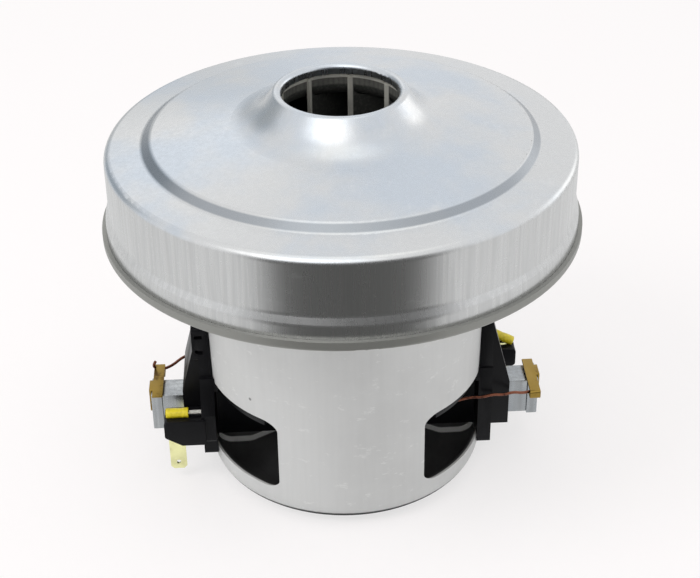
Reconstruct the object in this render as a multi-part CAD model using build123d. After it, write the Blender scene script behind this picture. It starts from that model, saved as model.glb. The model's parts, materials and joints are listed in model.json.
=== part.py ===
from build123d import *
import math
import os

# Vacuum cleaner motor and fan, standing on the closed end of its can with the air inlet on top.
# The rotor axis is Z, the carbon brushes lie along X, and the front of the unit faces -Y.
# The brush gear on the left is the right-hand one turned half a turn about Z.

# Clearances, and the one overrun of every cut
overrun = 1.0
seat_gap = 0.05
loose_gap = 0.2

# Motor can, drawn from one sheet with its flange and rim
can_sheet = 1.2
can_radius = 41.0
can_corner_radius = 6.0
flange_top = 79.0
flange_root_radius = 1.6
rim_radius = 67.5
rim_height = 1.9
rim_bend_radius = 1.5
standing_ring_inset = 12.0
seat_floor_lift = 0.6
seat_bead_width = 2.2
seat_bend_radius = 1.5
bead_bend_radius = 0.4
seat_hole_radius = 4.5
window_bottom = 9.3
window_top = 32.6
window_half_angle = 59.5
window_corner_radius = 3.0
notch_half_width = 11.0
notch_cover = 1.5

# Fan cover, drawn from thinner sheet
cover_sheet = 0.9
cover_band_height = 5.6
cover_flare_height = 2.6
cover_flare_radius = 2.5
cover_wall_inset = 1.05
shoulder_height = 103.3
shoulder_radius = 2.2
ledge_width = 10.2
ledge_rise = 1.2
step_width = 2.8
step_rise = 2.1
step_bend_radius = 1.5
cone_rise = 3.7
neck_foot_radius = 24.5
neck_radius = 18.2
neck_rise = 8.0
neck_flare_radius = 14.0
inlet_radius = 16.1
inlet_wall_length = 1.5
lip_bend_radius = 1.2

# Bearings: a 7 mm bore below, an 8 mm bore above
lower_bore_radius = 3.5
lower_bearing_radius = 9.5
lower_bearing_width = 6.0
lower_pitch_radius = 6.5
lower_ball_radius = 1.75
lower_ball_count = 7
upper_bore_radius = 4.0
upper_bearing_radius = 11.0
upper_bearing_width = 7.0
upper_pitch_radius = 7.5
upper_ball_radius = 1.98
upper_ball_count = 7
race_lip = 0.8
race_chamfer = 0.4
shield_thickness = 0.3
shield_inset = 0.2
cage_thickness = 1.2
cage_half_width = 0.9
cage_back = 0.45
wave_washer_thickness = 0.6
wave_washer_width = 2.0

# Bearing bracket across the can's mouth
bracket_sheet = 1.5
bracket_edge = 4.5
bracket_bend_radius = 1.8
bracket_hole_radius = 7.0
bracket_vent_inner_radius = 17.5
bracket_vent_outer_radius = 36.5
bracket_vent_angle = 62.0
bracket_vent_corner = 2.5

# Diffuser with its return vanes, and the four long screws
diffuser_wall_gap = 3.8
diffuser_plate = 2.0
diffuser_height = 8.5
diffuser_vane_count = 11
diffuser_vane_thickness = 1.6
diffuser_vane_inner_radius = 30.0
diffuser_vane_inset = 1.0
diffuser_vane_wrap = 62.0
diffuser_vane_inlet_angle = 66.0
diffuser_post_radius = 5.0
diffuser_hole_gap = 0.8
screw_count = 4
screw_wall_gap = 4.5
screw_radius = 2.0
screw_head_radius = 3.6
screw_head_height = 2.4
screw_tail = 2.4
screw_recess_radius = 1.3
screw_recess_depth = 1.4

# Shaft
shaft_radius = 4.0
shaft_end_gap = 0.5
shaft_chamfer = 0.6

# Impeller: back plate, shroud and riveted blades
impeller_wall_gap = 7.3
impeller_sheet = 1.0
impeller_lift = 2.5
shroud_sheet = 0.8
shroud_rim_gap = 1.9
eye_step = 1.9
eye_top_gap = 0.6
eye_collar_height = 5.6
eye_bend_radius = 3.5
blade_count = 9
blade_thickness = 0.8
blade_inner_radius = 16.8
blade_tip_inset = 1.0
blade_wrap = 80.0
blade_inlet_angle = 61.0
blade_seat_gap = 0.02
rivet_length = 3.6
rivet_proud = 0.5
rivet_gap = 0.08
rivet_places_share = (0.14, 0.5, 0.86)
washer_thickness = 1.2
washer_radius = 11.0
spacer_radius = 6.5
nut_across_flats = 13.0
nut_height = 6.5
shaft_past_nut = 2.2

# Armature
stack_bottom = 35.0
stack_height = 27.0
armature_radius = 22.0
slot_count = 22
slot_inner_radius = 12.3
slot_shoulder_radius = 20.6
slot_inner_half = 0.7
slot_outer_half = 1.75
slot_mouth_half = 0.8
slot_liner_gap = 0.25
insulator_thickness = 0.8
winding_outer_radius = 20.3
winding_inner_radius = 8.5
winding_end_height = 7.2
winding_round = 2.6
winding_neck_radius = 10.2

# Commutator
commutator_radius = 12.0
commutator_bore_radius = 7.6
commutator_lift = 0.9
commutator_top = 24.0
commutator_bar_gap = 0.5
hook_height = 1.6
hook_reach = 1.3

# Stator and field coils, with the poles at the front and the back
air_gap = 0.6
shoe_depth = 4.0
shoe_half_angle = 58.0
pole_half_width = 13.0
yoke_depth = 8.15
stator_flat_inset = 2.95
coil_shoe_gap = 0.7
coil_yoke_gap = 0.5
coil_side_start_angle = 31.5
coil_half_angle = 56.0
coil_end_lift = 3.0
coil_end_overhang = 1.9
coil_end_height = 6.7
coil_round = 1.6

# Carbon brush, its box, cap, spring and shunt, on the right-hand side
brush_axis_height = 16.0
brush_width = 6.4
brush_height = 9.8
brush_length = 28.0
brush_gap = 0.1
brush_travel = 6.0
box_sheet = 0.8
box_inner_end = 15.0
box_reach = 6.8
cap_length = 3.2
cap_sheet = 0.4
spring_radius = 2.6
spring_wire = 0.8
shunt_radius = 0.6
shunt_socket_depth = 4.0

# Moulded brush holder
guide_inner_end = 17.0
guide_wall = 1.9
plate_sink = 2.1
plate_stand = 2.0
plate_half_width = 14.0
plate_top_half_width = 11.0
plate_taper_height = 30.0
plate_bottom = 6.7
plate_top = 49.0
plate_round = 1.0
boss_reach = 5.5
boss_half_width = 11.5
boss_slot_side = 9.5
boss_bottom = 11.8
boss_shoulder = 27.0
wing_thickness = 1.8
wing_half_angle = 52.0
wing_bottom = 29.5
clip_block_sink = 2.4
clip_block_stand = 1.7
clip_block_side = 11.3
clip_block_inner_side = 5.0
clip_block_bottom = 38.7
clip_block_top = 50.0
clip_slot_width = 2.4
clip_slot_height = 1.2
clip_slot_depth = 1.5
clip_slot_pitch = 5.0
housing_reach = 11.0
housing_inner_side = 11.5
housing_outer_side = 19.0
housing_bottom = 14.0
housing_top = 22.6
housing_toe_drop = 3.0
housing_toe_length = 5.0
sweep_side = 18.0
sweep_waist = 12.6
sweep_waist_height = 34.0

# Terminals, straps and leads on the right-hand holder
spade_width = 4.8
spade_thickness = 0.8
spade_inset = 3.2
spade_side = 15.6
spade_tip = 3.4
spade_tip_chamfer = 0.9
spade_hole_radius = 0.7
spade_hole_lift = 2.4
strap_width = 3.2
strap_inset = 0.4
strap_sheet = 0.6
strap_rear_side = 5.8
strap_hook_side = 10.9
strap_hook_radius = 1.1
strap_hook_return = 1.8
strap_tab_half_width = 2.6
strap_tab_length = 7.0
lead_radius = 0.45
sleeve_radius = 1.5
sleeve_inset = 0.6
sleeve_length = 6.6
crimp_radius = 1.1
crimp_length = 6.2
lead_rise = 1.0
lead_coil_angle = -41.0
lead_drop = 2.6
lead_turn_inset = 4.2
lead_wall_gap = 2.6
lead_window_height = 25.6
lead_plate_gap = 0.9
lead_boss_gap = 1.0
lead_plate_height = 25.0
lead_boss_height = 23.6
lead_tail = 1.9
lead_bends = (2.0, 4.0, 4.0, 4.0, 3.0)

# Worked out from the sizes above
can_inner_radius = can_radius - can_sheet
standing_ring_radius = can_radius - standing_ring_inset
rim_top = flange_top + rim_height
notch_top = plate_top - notch_cover
cover_bottom = flange_top + rim_bend_radius - can_sheet
seat_floor = seat_floor_lift + can_sheet
lower_bearing_bottom = seat_floor + wave_washer_thickness
lower_bearing_top = lower_bearing_bottom + lower_bearing_width
cover_band_radius = rim_radius - can_sheet - seat_gap
cover_wall_radius = cover_band_radius - cover_wall_inset
step_outer_radius = cover_wall_radius - ledge_width
step_inner_radius = step_outer_radius - step_width
impeller_radius = cover_wall_radius - cover_sheet - impeller_wall_gap
diffuser_radius = cover_wall_radius - cover_sheet - diffuser_wall_gap
screw_circle_radius = can_radius + screw_wall_gap
bracket_radius = screw_circle_radius + bracket_edge
bracket_top = flange_top + bracket_sheet
upper_bearing_bottom = bracket_top - upper_bearing_width
diffuser_top = bracket_top + diffuser_height
impeller_bottom = diffuser_top + impeller_lift
blade_bottom = impeller_bottom + impeller_sheet
nut_bottom = blade_bottom + washer_thickness
nut_top = nut_bottom + nut_height
shaft_top = nut_top + shaft_past_nut
stack_top = stack_bottom + stack_height
commutator_bottom = lower_bearing_top + commutator_lift
stator_radius = can_inner_radius - seat_gap
stator_bore = armature_radius + air_gap
stator_window_radius = stator_radius - yoke_depth
stator_flat = stator_radius - stator_flat_inset
coil_side_inner_radius = stator_bore + shoe_depth + coil_shoe_gap
coil_side_outer_radius = stator_window_radius - coil_yoke_gap
coil_end_inner_radius = stator_bore + coil_end_lift
coil_end_outer_radius = stator_window_radius + coil_end_overhang
shroud_rim_top = shoulder_height - cover_sheet - shroud_rim_gap
inlet_top = shoulder_height + ledge_rise + step_rise + cone_rise + neck_rise
inlet_wall_bottom = inlet_top - lip_bend_radius - inlet_wall_length
eye_radius = inlet_radius + eye_step
eye_top = inlet_wall_bottom - eye_top_gap
shroud_bend_height = eye_top - eye_collar_height
box_half_width = brush_width / 2 + brush_gap + box_sheet
box_half_height = brush_height / 2 + brush_gap + box_sheet
plate_inner_face = can_radius - plate_sink
plate_outer_face = can_radius + plate_stand
boss_outer_face = plate_outer_face + boss_reach
housing_outer_face = plate_outer_face + housing_reach
clip_block_inner = plate_outer_face - clip_block_sink
clip_block_outer = plate_outer_face + clip_block_stand
spade_axis = housing_outer_face - spade_inset
sleeve_start = housing_outer_face - sleeve_inset
sleeve_end = sleeve_start - sleeve_length
crimp_end = sleeve_end - crimp_length
box_outer_end = boss_outer_face + box_reach
cap_end = box_outer_end + cap_length
brush_inner_end = commutator_radius + brush_gap
brush_outer_end = brush_inner_end + brush_length
lead_height = housing_top + lead_rise

# Shape helpers
def ring(inner, outer, bottom, top):
    """Flat ring round Z."""
    body = Pos(0, 0, bottom) * extrude(Circle(outer) - Circle(inner), amount=top - bottom)
    return body


def disc(radius, bottom, top):
    """Round disc or rod on Z."""
    return Pos(0, 0, bottom) * extrude(Circle(radius), amount=top - bottom)


def block(x_from, x_to, y_from, y_to, z_from, z_to):
    """Rectangular block between two corners."""
    centre = ((x_from + x_to) / 2, (y_from + y_to) / 2, (z_from + z_to) / 2)
    return Pos(*centre) * Box(abs(x_to - x_from), abs(y_to - y_from), abs(z_to - z_from))


def turned(points):
    """Solid of revolution from a closed outline of radius and height."""
    return revolve(Plane.XZ * make_face(Polyline(*points, close=True)), axis=Axis.Z)


def polar(radius, angle):
    """Point at a radius and an angle in degrees."""
    return (radius * math.cos(math.radians(angle)), radius * math.sin(math.radians(angle)))


def unit_steps(points):
    """Unit direction of each run of a polyline."""
    steps = []
    for (x_from, y_from), (x_to, y_to) in zip(points, points[1:]):
        run = math.hypot(x_to - x_from, y_to - y_from)
        steps.append(((x_to - x_from) / run, (y_to - y_from) / run))
    return steps


def offset_left(points, distance):
    """Mitred copy of a polyline, moved to its left."""
    steps = unit_steps(points)
    before = [steps[0]] + steps
    after = steps + [steps[-1]]
    moved = []
    for (x, y), (bx, by), (ax, ay) in zip(points, before, after):
        reach = distance / (1 + ax * bx + ay * by)
        moved.append((x - (ay + by) * reach, y + (ax + bx) * reach))
    return moved


def sheet_face(points, radii, thickness):
    """Section of a bent sheet: its outer line, its corner radii and the sheet to the line's left."""
    steps = unit_steps(points)
    inner_radii = []
    for (bx, by), (ax, ay), radius in zip(steps, steps[1:], radii):
        turn = math.copysign(1, bx * ay - by * ax)
        inner_radii.append(radius - turn * thickness)
    outer = FilletPolyline(*points, radius=radii)
    inner = FilletPolyline(*offset_left(points, thickness), radius=inner_radii)
    ends = [Line(outer @ 1, inner @ 1), Line(inner @ 0, outer @ 0)]
    return make_face([*outer.edges(), *inner.edges(), *ends])


def spun_sheet(points, radii, thickness):
    """Drawn round sheet, such as a can or a cover."""
    return revolve(Plane.XZ * sheet_face(points, radii, thickness), axis=Axis.Z)


def arc_band(centre, radius, width, start, sweep):
    """Band of even width along an arc, in plan."""
    outer = CenterArc(centre, radius + width / 2, start, sweep)
    inner = CenterArc(centre, radius - width / 2, start, sweep)
    return make_face([outer, Line(outer @ 1, inner @ 1), inner, Line(inner @ 0, outer @ 0)])


def sector(inner, outer, bottom, top, middle_angle, half_angle):
    """Part of a ring round Z."""
    band = arc_band((0, 0), (inner + outer) / 2, outer - inner, middle_angle - half_angle, 2 * half_angle)
    return Pos(0, 0, bottom) * extrude(band, amount=top - bottom)


def around(shape, count, first=0):
    """Copies of a shape, evenly spaced round Z."""
    return [Rot(0, 0, first + 360 * index / count) * shape for index in range(count)]


def group(shapes):
    """Separate solids kept together in one piece list."""
    return Compound([solid for shape in shapes for solid in shape.solids()])


def camber_line(start, end, tangent_angle):
    """Centre, radius, start angle and sweep of the arc that leaves a point at an angle."""
    arc = TangentArc(start, end, tangent=polar(1, tangent_angle))
    centre = arc.arc_center
    start_angle = math.degrees(math.atan2(start[1] - centre.Y, start[0] - centre.X))
    end_angle = math.degrees(math.atan2(end[1] - centre.Y, end[0] - centre.X))
    sweep = (end_angle - start_angle + 180) % 360 - 180
    return (centre.X, centre.Y), arc.radius, start_angle, sweep


def tube_along(points, radii, radius):
    """Round wire along straight runs and tangent arcs."""
    path = FilletPolyline(*points, radius=radii)
    section = Plane(origin=path @ 0, z_dir=path % 0) * Circle(radius)
    return sweep(section, path=path)


# Motor can
def make_motor_can():
    """Can with its bearing seat, windows, flange and rim."""
    seat_outer_radius = lower_bearing_radius + seat_gap + can_sheet
    bead_underside = lower_bearing_top - can_sheet
    points = [
        (seat_hole_radius, seat_floor_lift),
        (seat_outer_radius, seat_floor_lift),
        (seat_outer_radius, bead_underside),
        (seat_outer_radius + seat_bead_width, bead_underside),
        (standing_ring_radius, 0),
        (can_radius, 0),
        (can_radius, flange_top - can_sheet),
        (rim_radius, flange_top - can_sheet),
        (rim_radius, rim_top),
    ]
    radii = [
        seat_bend_radius,
        bead_bend_radius,
        bead_bend_radius,
        can_corner_radius,
        can_corner_radius,
        flange_root_radius,
        rim_bend_radius,
    ]
    can = spun_sheet(points, radii, can_sheet)
    can -= side_windows(0)
    can -= group(around(screw_hole(screw_radius + seat_gap), screw_count, first=45))
    return can


def side_windows(inset):
    """Punch through both sides, a wide window and the notch above it, or what passes through it with an inset."""
    half_width = can_radius * math.sin(math.radians(window_half_angle)) - inset
    notch_side = notch_half_width - inset
    low = window_bottom + inset
    middle = window_top - inset
    high = notch_top - inset
    outline = make_face(
        Polyline(
            (-half_width, low),
            (half_width, low),
            (half_width, middle),
            (notch_side, middle),
            (notch_side, high),
            (-notch_side, high),
            (-notch_side, middle),
            (-half_width, middle),
            close=True,
        )
    )
    outline = fillet(outline.vertices(), window_corner_radius)
    depth = can_radius + overrun
    return extrude(Plane.YZ.offset(-depth) * outline, amount=2 * depth)


def screw_hole(radius):
    """One hole of the clamp screws, down through the flange."""
    return Pos(screw_circle_radius, 0, 0) * disc(radius, flange_top - can_sheet - overrun, diffuser_top + overrun)


# Fan cover
def make_fan_cover():
    """Drawn cover from its band in the rim up to the rolled inlet."""
    band_top = flange_top + cover_band_height
    ledge_top = shoulder_height + ledge_rise
    step_top = ledge_top + step_rise
    points = [
        (cover_band_radius, cover_bottom),
        (cover_band_radius, band_top),
        (cover_wall_radius, band_top + cover_flare_height),
        (cover_wall_radius, shoulder_height),
        (step_outer_radius, ledge_top),
        (step_inner_radius, step_top),
        (neck_foot_radius, step_top + cone_rise),
        (neck_radius, inlet_top),
        (inlet_radius, inlet_top),
        (inlet_radius, inlet_wall_bottom),
    ]
    radii = [
        cover_flare_radius,
        cover_flare_radius,
        shoulder_radius,
        step_bend_radius,
        step_bend_radius,
        neck_flare_radius,
        lip_bend_radius,
        lip_bend_radius,
    ]
    return spun_sheet(points, radii, cover_sheet)


# Bearings
def bearing_pieces(bore, outer, width, pitch, ball, count, bottom):
    """Outer race, inner race, balls, cage and shields of one ball bearing."""
    middle = bottom + width / 2
    track = Pos(0, 0, middle) * Torus(pitch, ball + seat_gap)
    outer_race = turned(
        [
            (pitch + race_lip, bottom),
            (outer - race_chamfer, bottom),
            (outer, bottom + race_chamfer),
            (outer, bottom + width - race_chamfer),
            (outer - race_chamfer, bottom + width),
            (pitch + race_lip, bottom + width),
        ]
    )
    outer_race -= track
    inner_race = ring(bore + seat_gap, pitch - race_lip, bottom, bottom + width) - track
    balls = group(around(Pos(pitch, 0, middle) * Sphere(ball), count))
    pocket = ball + 2 * seat_gap
    pockets = group(around(Pos(pitch, 0, middle) * Box(2 * cage_thickness, 2 * pocket, 2 * pocket), count))
    cage_inner = pitch - cage_thickness / 2
    cage_outer = pitch + cage_thickness / 2
    cage = ring(cage_inner, cage_outer, middle - cage_half_width, middle + pocket + cage_back) - pockets
    shield_inner = pitch - race_lip + loose_gap
    shield_outer = pitch + race_lip - seat_gap
    low = bottom + shield_inset
    high = bottom + width - shield_inset - shield_thickness
    shields = group([ring(shield_inner, shield_outer, at, at + shield_thickness) for at in (low, high)])
    return outer_race, inner_race, balls, cage, shields


def make_wave_washer():
    """Preload washer under the lower bearing."""
    outer = lower_bearing_radius - 2 * loose_gap
    return ring(outer - wave_washer_width, outer, seat_floor, lower_bearing_bottom)


# Bearing bracket, diffuser and screws
def make_bearing_bracket():
    """Pressed bracket that carries the upper bearing in the can's mouth."""
    seat_outer = upper_bearing_radius + seat_gap + bracket_sheet
    seat_underside = upper_bearing_bottom - bracket_sheet
    points = [
        (bracket_hole_radius, seat_underside),
        (seat_outer, seat_underside),
        (seat_outer, flange_top),
        (bracket_radius, flange_top),
    ]
    bracket = spun_sheet(points, [bracket_bend_radius, bead_bend_radius], bracket_sheet)
    vent = sector(
        bracket_vent_inner_radius,
        bracket_vent_outer_radius,
        flange_top - overrun,
        bracket_top + overrun,
        0,
        bracket_vent_angle / 2,
    )
    vent = fillet(vent.edges().filter_by(Axis.Z), bracket_vent_corner)
    bracket -= group(around(vent, screw_count))
    bracket -= group(around(screw_hole(screw_radius + loose_gap), screw_count, first=45))
    return bracket


def make_diffuser():
    """Moulded plate with return vanes below it and posts for the screws."""
    plate_bottom_face = diffuser_top - diffuser_plate
    hole = spacer_radius + diffuser_hole_gap
    plate = ring(hole, diffuser_radius, plate_bottom_face, diffuser_top)
    start = polar(diffuser_radius - diffuser_vane_inset, 0)
    end = polar(diffuser_vane_inner_radius, diffuser_vane_wrap)
    centre, radius, start_angle, sweep_angle = camber_line(start, end, 180 - diffuser_vane_inlet_angle)
    band = arc_band(centre, radius, diffuser_vane_thickness, start_angle, sweep_angle)
    vane = Pos(0, 0, bracket_top) * extrude(band, amount=diffuser_height - diffuser_plate / 2)
    post = Pos(screw_circle_radius, 0, 0) * disc(diffuser_post_radius, bracket_top, diffuser_top)
    diffuser = plate + around(vane, diffuser_vane_count) + around(post, screw_count, first=45)
    diffuser -= group(around(screw_hole(screw_radius + loose_gap), screw_count, first=45))
    sink_bottom = diffuser_top - screw_head_height - loose_gap
    sink = Pos(screw_circle_radius, 0, 0) * disc(
        screw_head_radius + loose_gap, sink_bottom, diffuser_top + overrun
    )
    return diffuser - group(around(sink, screw_count, first=45))


def make_clamp_screws():
    """Four long screws, sunk in the diffuser's posts."""
    seat = diffuser_top - screw_head_height - loose_gap
    head = disc(screw_head_radius, seat, seat + screw_head_height)
    socket = disc(screw_recess_radius, seat + screw_head_height - screw_recess_depth, diffuser_top)
    shank = disc(screw_radius, flange_top - can_sheet - screw_tail, seat)
    screw = Pos(screw_circle_radius, 0, 0) * (head - socket + shank)
    return group(around(screw, screw_count, first=45))


# Rotor
def make_shaft():
    """Ground shaft with a smaller journal in the lower bearing."""
    journal = lower_bore_radius
    bottom = seat_floor + shaft_end_gap - can_sheet / 2
    return turned(
        [
            (0, bottom),
            (journal - shaft_chamfer, bottom),
            (journal, bottom + shaft_chamfer),
            (journal, lower_bearing_top),
            (shaft_radius, lower_bearing_top),
            (shaft_radius, shaft_top - shaft_chamfer),
            (shaft_radius - shaft_chamfer, shaft_top),
            (0, shaft_top),
        ]
    )


def slot_outline(gap):
    """One armature slot in plan, or what lies in it when a gap is given."""
    mouth = armature_radius + overrun
    shoulder = slot_shoulder_radius - gap
    outline = [
        (slot_inner_radius + gap, -(slot_inner_half - gap)),
        (shoulder, -(slot_outer_half - gap)),
        (shoulder, slot_outer_half - gap),
        (slot_inner_radius + gap, slot_inner_half - gap),
    ]
    slot = make_face(Polyline(*outline, close=True))
    if gap == 0:
        opening = Pos((shoulder + mouth) / 2, 0) * Rectangle(mouth - shoulder, 2 * slot_mouth_half)
        slot += opening
    return slot


def slotted_disc(outer, bottom, top):
    """Disc with the armature's slots cut through it."""
    face = Circle(outer) - Circle(shaft_radius + seat_gap)
    for index in range(slot_count):
        face -= Rot(0, 0, 360 * index / slot_count) * slot_outline(0)
    return Pos(0, 0, bottom) * extrude(face, amount=top - bottom)


def winding_end(bottom, top, neck_bottom):
    """End turns of the armature as one bevelled ring, with the neck that feeds the commutator."""
    bundle = ring(winding_inner_radius, winding_outer_radius, bottom, top)
    round_edges = bundle.edges().filter_by(GeomType.CIRCLE)
    bundle = chamfer(round_edges.group_by(SortBy.RADIUS)[-1], winding_round)
    if neck_bottom is not None:
        hook_end = commutator_radius + hook_reach
        bundle += ring(winding_neck_radius, hook_end, neck_bottom, bottom + winding_round)
    return bundle


def make_armature_winding():
    """Coil sides in the slots and the end turns above and below the stack."""
    low = stack_bottom - insulator_thickness
    high = stack_top + insulator_thickness
    winding = winding_end(low - winding_end_height, low - seat_gap, commutator_top + seat_gap)
    winding += winding_end(high + seat_gap, high + winding_end_height, None)
    bar = Pos(0, 0, low - seat_gap - winding_round) * extrude(
        slot_outline(slot_liner_gap), amount=high - low + 2 * (seat_gap + winding_round)
    )
    return winding + around(bar, slot_count)


def make_commutator_bars():
    """Copper segments with a riser hook each, a gap apart."""
    pitch_angle = 360 / slot_count
    gap_angle = math.degrees(commutator_bar_gap / commutator_radius)
    hook_bottom = commutator_top - hook_height
    outline = [
        (commutator_bore_radius, commutator_bottom),
        (commutator_radius, commutator_bottom),
        (commutator_radius, hook_bottom),
        (commutator_radius + hook_reach, hook_bottom),
        (commutator_radius + hook_reach, commutator_top),
        (commutator_bore_radius, commutator_top),
    ]
    face = Plane.XZ * make_face(Polyline(*outline, close=True))
    bar = revolve(face, axis=Axis.Z, revolution_arc=pitch_angle - gap_angle)
    return group(around(bar, slot_count))


def make_impeller_blades():
    """Backward-curved blades with rivet tabs on both edges."""
    blade = extruded_blade(blade_thickness) & blade_space(0)
    tabs = rivet_tabs(0) & blade_space(rivet_proud)
    return group(around(blade + tabs, blade_count))


def blade_camber():
    """Camber line of one blade."""
    start = polar(blade_inner_radius, 0)
    end = polar(impeller_radius - blade_tip_inset, -blade_wrap)
    return camber_line(start, end, -blade_inlet_angle)


def extruded_blade(thickness):
    """One blade as a tall curved wall."""
    centre, radius, start, sweep_angle = blade_camber()
    band = arc_band(centre, radius, thickness, start, sweep_angle)
    return Pos(0, 0, impeller_bottom - overrun) * extrude(band, amount=eye_top - impeller_bottom + 2 * overrun)


def rivet_tabs(gap):
    """Tabs of one blade as tall pegs, or their slots when a gap is given."""
    centre, radius, start, sweep_angle = blade_camber()
    tab_sweep = math.copysign(math.degrees((rivet_length + 2 * gap) / radius), sweep_angle)
    pegs = []
    for share in rivet_places_share:
        first = start + share * sweep_angle - tab_sweep / 2
        band = arc_band(centre, radius, blade_thickness + 2 * gap, first, tab_sweep)
        height = eye_top - impeller_bottom + 2 * overrun
        pegs.append(Pos(0, 0, impeller_bottom - overrun) * extrude(band, amount=height))
    return group(pegs)


def shroud_points(drop):
    """Upper line of the shroud from its rim to the eye, lowered by a drop."""
    return [
        (impeller_radius, shroud_rim_top - drop),
        (eye_radius, shroud_bend_height - drop),
        (eye_radius, eye_top),
    ]


def blade_space(proud):
    """Room between the plates, or with the plates and the rivet heads when proud is given."""
    if proud == 0:
        bottom = blade_bottom + blade_seat_gap
        upper = offset_left(shroud_points(0), shroud_sheet + blade_seat_gap)
    else:
        bottom = impeller_bottom - proud
        upper = offset_left(shroud_points(0), -proud)
    rim, bend, eye = upper
    inner_bend = eye_bend_radius - shroud_sheet - blade_seat_gap if proud == 0 else eye_bend_radius + proud
    line = FilletPolyline(rim, bend, eye, radius=inner_bend)
    closing = Polyline(line @ 1, (0, eye[1]), (0, bottom), (rim[0], bottom), line @ 0)
    return revolve(Plane.XZ * make_face([*line.edges(), *closing.edges()]), axis=Axis.Z)


def make_impeller_shroud():
    """Front plate of the impeller with its collar round the eye."""
    face = sheet_face(shroud_points(0), [eye_bend_radius], shroud_sheet)
    shroud = revolve(Plane.XZ * face, axis=Axis.Z)
    return shroud - group(around(rivet_tabs(rivet_gap), blade_count))


def make_impeller_back_plate():
    """Flat back plate with the blades' rivet slots."""
    plate = ring(shaft_radius + seat_gap, impeller_radius, impeller_bottom, blade_bottom)
    return plate - group(around(rivet_tabs(rivet_gap), blade_count))


def make_impeller_nut():
    """Hexagon nut that clamps the impeller."""
    nut = Pos(0, 0, nut_bottom) * extrude(
        RegularPolygon(nut_across_flats / 2, 6, major_radius=False), amount=nut_height
    )
    cone_radius = nut_across_flats / math.sqrt(3)
    crown = disc(cone_radius, nut_bottom, nut_top)
    crown = chamfer(crown.edges().sort_by(Axis.Z)[-1], shaft_chamfer)
    return (nut & crown) - disc(shaft_radius + seat_gap, nut_bottom - overrun, nut_top + overrun)


# Stator
def stator_face(outer):
    """Lamination with a pole at the front and at the back."""
    sheet_outline = Circle(outer) & Rectangle(2 * stator_flat, 2 * outer)
    neck = Rectangle(2 * pole_half_width, 2 * stator_window_radius + overrun)
    neck -= Circle(stator_bore + shoe_depth / 2)
    poles = neck
    for angle in (90, 270):
        poles += arc_band(
            (0, 0), stator_bore + shoe_depth / 2, shoe_depth, angle - shoe_half_angle, 2 * shoe_half_angle
        )
    window = Circle(stator_window_radius) - poles
    return sheet_outline - window


def make_stator_core():
    """Laminated stack."""
    return Pos(0, 0, stack_bottom) * extrude(stator_face(stator_radius), amount=stack_height)


def make_stator_insulators():
    """Fibre sheets on both ends of the stack."""
    face = stator_face(stator_radius - loose_gap)
    low = Pos(0, 0, stack_bottom - insulator_thickness) * extrude(face, amount=insulator_thickness)
    high = Pos(0, 0, stack_top) * extrude(face, amount=insulator_thickness)
    return group([low, high])


def make_field_coil(pole_angle):
    """Saddle coil round one pole: two end bundles and two sides."""
    low = stack_bottom - insulator_thickness - seat_gap
    high = stack_top + insulator_thickness + seat_gap
    side_half = (coil_half_angle - coil_side_start_angle) / 2
    side_middle = (coil_half_angle + coil_side_start_angle) / 2
    coil = coil_end(low - coil_end_height, low, pole_angle)
    coil += coil_end(high, high + coil_end_height, pole_angle)
    for offset in (-side_middle, side_middle):
        coil += sector(
            coil_side_inner_radius,
            coil_side_outer_radius,
            low - coil_round,
            high + coil_round,
            pole_angle + offset,
            side_half,
        )
    return coil


def coil_end(bottom, top, pole_angle):
    """End bundle of a field coil, with rounded edges."""
    bundle = sector(
        coil_end_inner_radius, coil_end_outer_radius, bottom, top, pole_angle, coil_half_angle
    )
    return fillet(bundle.edges().filter_by(Axis.Z), coil_round)


# Brush gear
def box_tube(grow, x_from, x_to):
    """Rectangular rod round the brush axis, larger or smaller than the box by a wall."""
    half_width = box_half_width + grow
    half_height = box_half_height + grow
    low = brush_axis_height - half_height
    high = brush_axis_height + half_height
    return block(x_from, x_to, -half_width, half_width, low, high)


def make_brush_box():
    """Plated rectangular tube that guides the brush."""
    tube = box_tube(0, box_inner_end, box_outer_end)
    return tube - box_tube(-box_sheet, box_inner_end - overrun, box_outer_end + overrun)


def make_brush_cap():
    """Folded cap that closes the box and backs the spring."""
    cap = box_tube(cap_sheet, box_outer_end, cap_end)
    return cap - box_tube(-box_sheet, box_outer_end - overrun, cap_end - box_sheet)


def make_brush():
    """Carbon brush with its face ground to the commutator."""
    low = brush_axis_height - brush_height / 2
    high = brush_axis_height + brush_height / 2
    inner = commutator_radius - box_sheet
    brush = block(inner, brush_outer_end, -brush_width / 2, brush_width / 2, low, high)
    brush -= disc(brush_inner_end, low - overrun, high + overrun)
    socket = rod_x(shunt_radius + brush_gap, brush_outer_end - shunt_socket_depth, brush_outer_end + overrun)
    return brush - socket


def rod_x(radius, x_from, x_to):
    """Round rod along the brush axis."""
    return Plane.YZ.offset(x_from) * Pos(0, brush_axis_height, 0) * Pos(0, 0, (x_to - x_from) / 2) * Cylinder(
        radius, x_to - x_from
    )


def make_brush_spring():
    """Coil spring between the brush and the cap, as a sleeve of the coil's size."""
    start = brush_outer_end + seat_gap
    end = cap_end - box_sheet - seat_gap
    return rod_x(spring_radius, start, end) - rod_x(spring_radius - spring_wire, start - overrun, end + overrun)


def make_brush_shunt():
    """Flexible copper shunt from the brush to the cap."""
    return rod_x(shunt_radius, brush_outer_end - shunt_socket_depth + brush_gap, cap_end - box_sheet - seat_gap)


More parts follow.
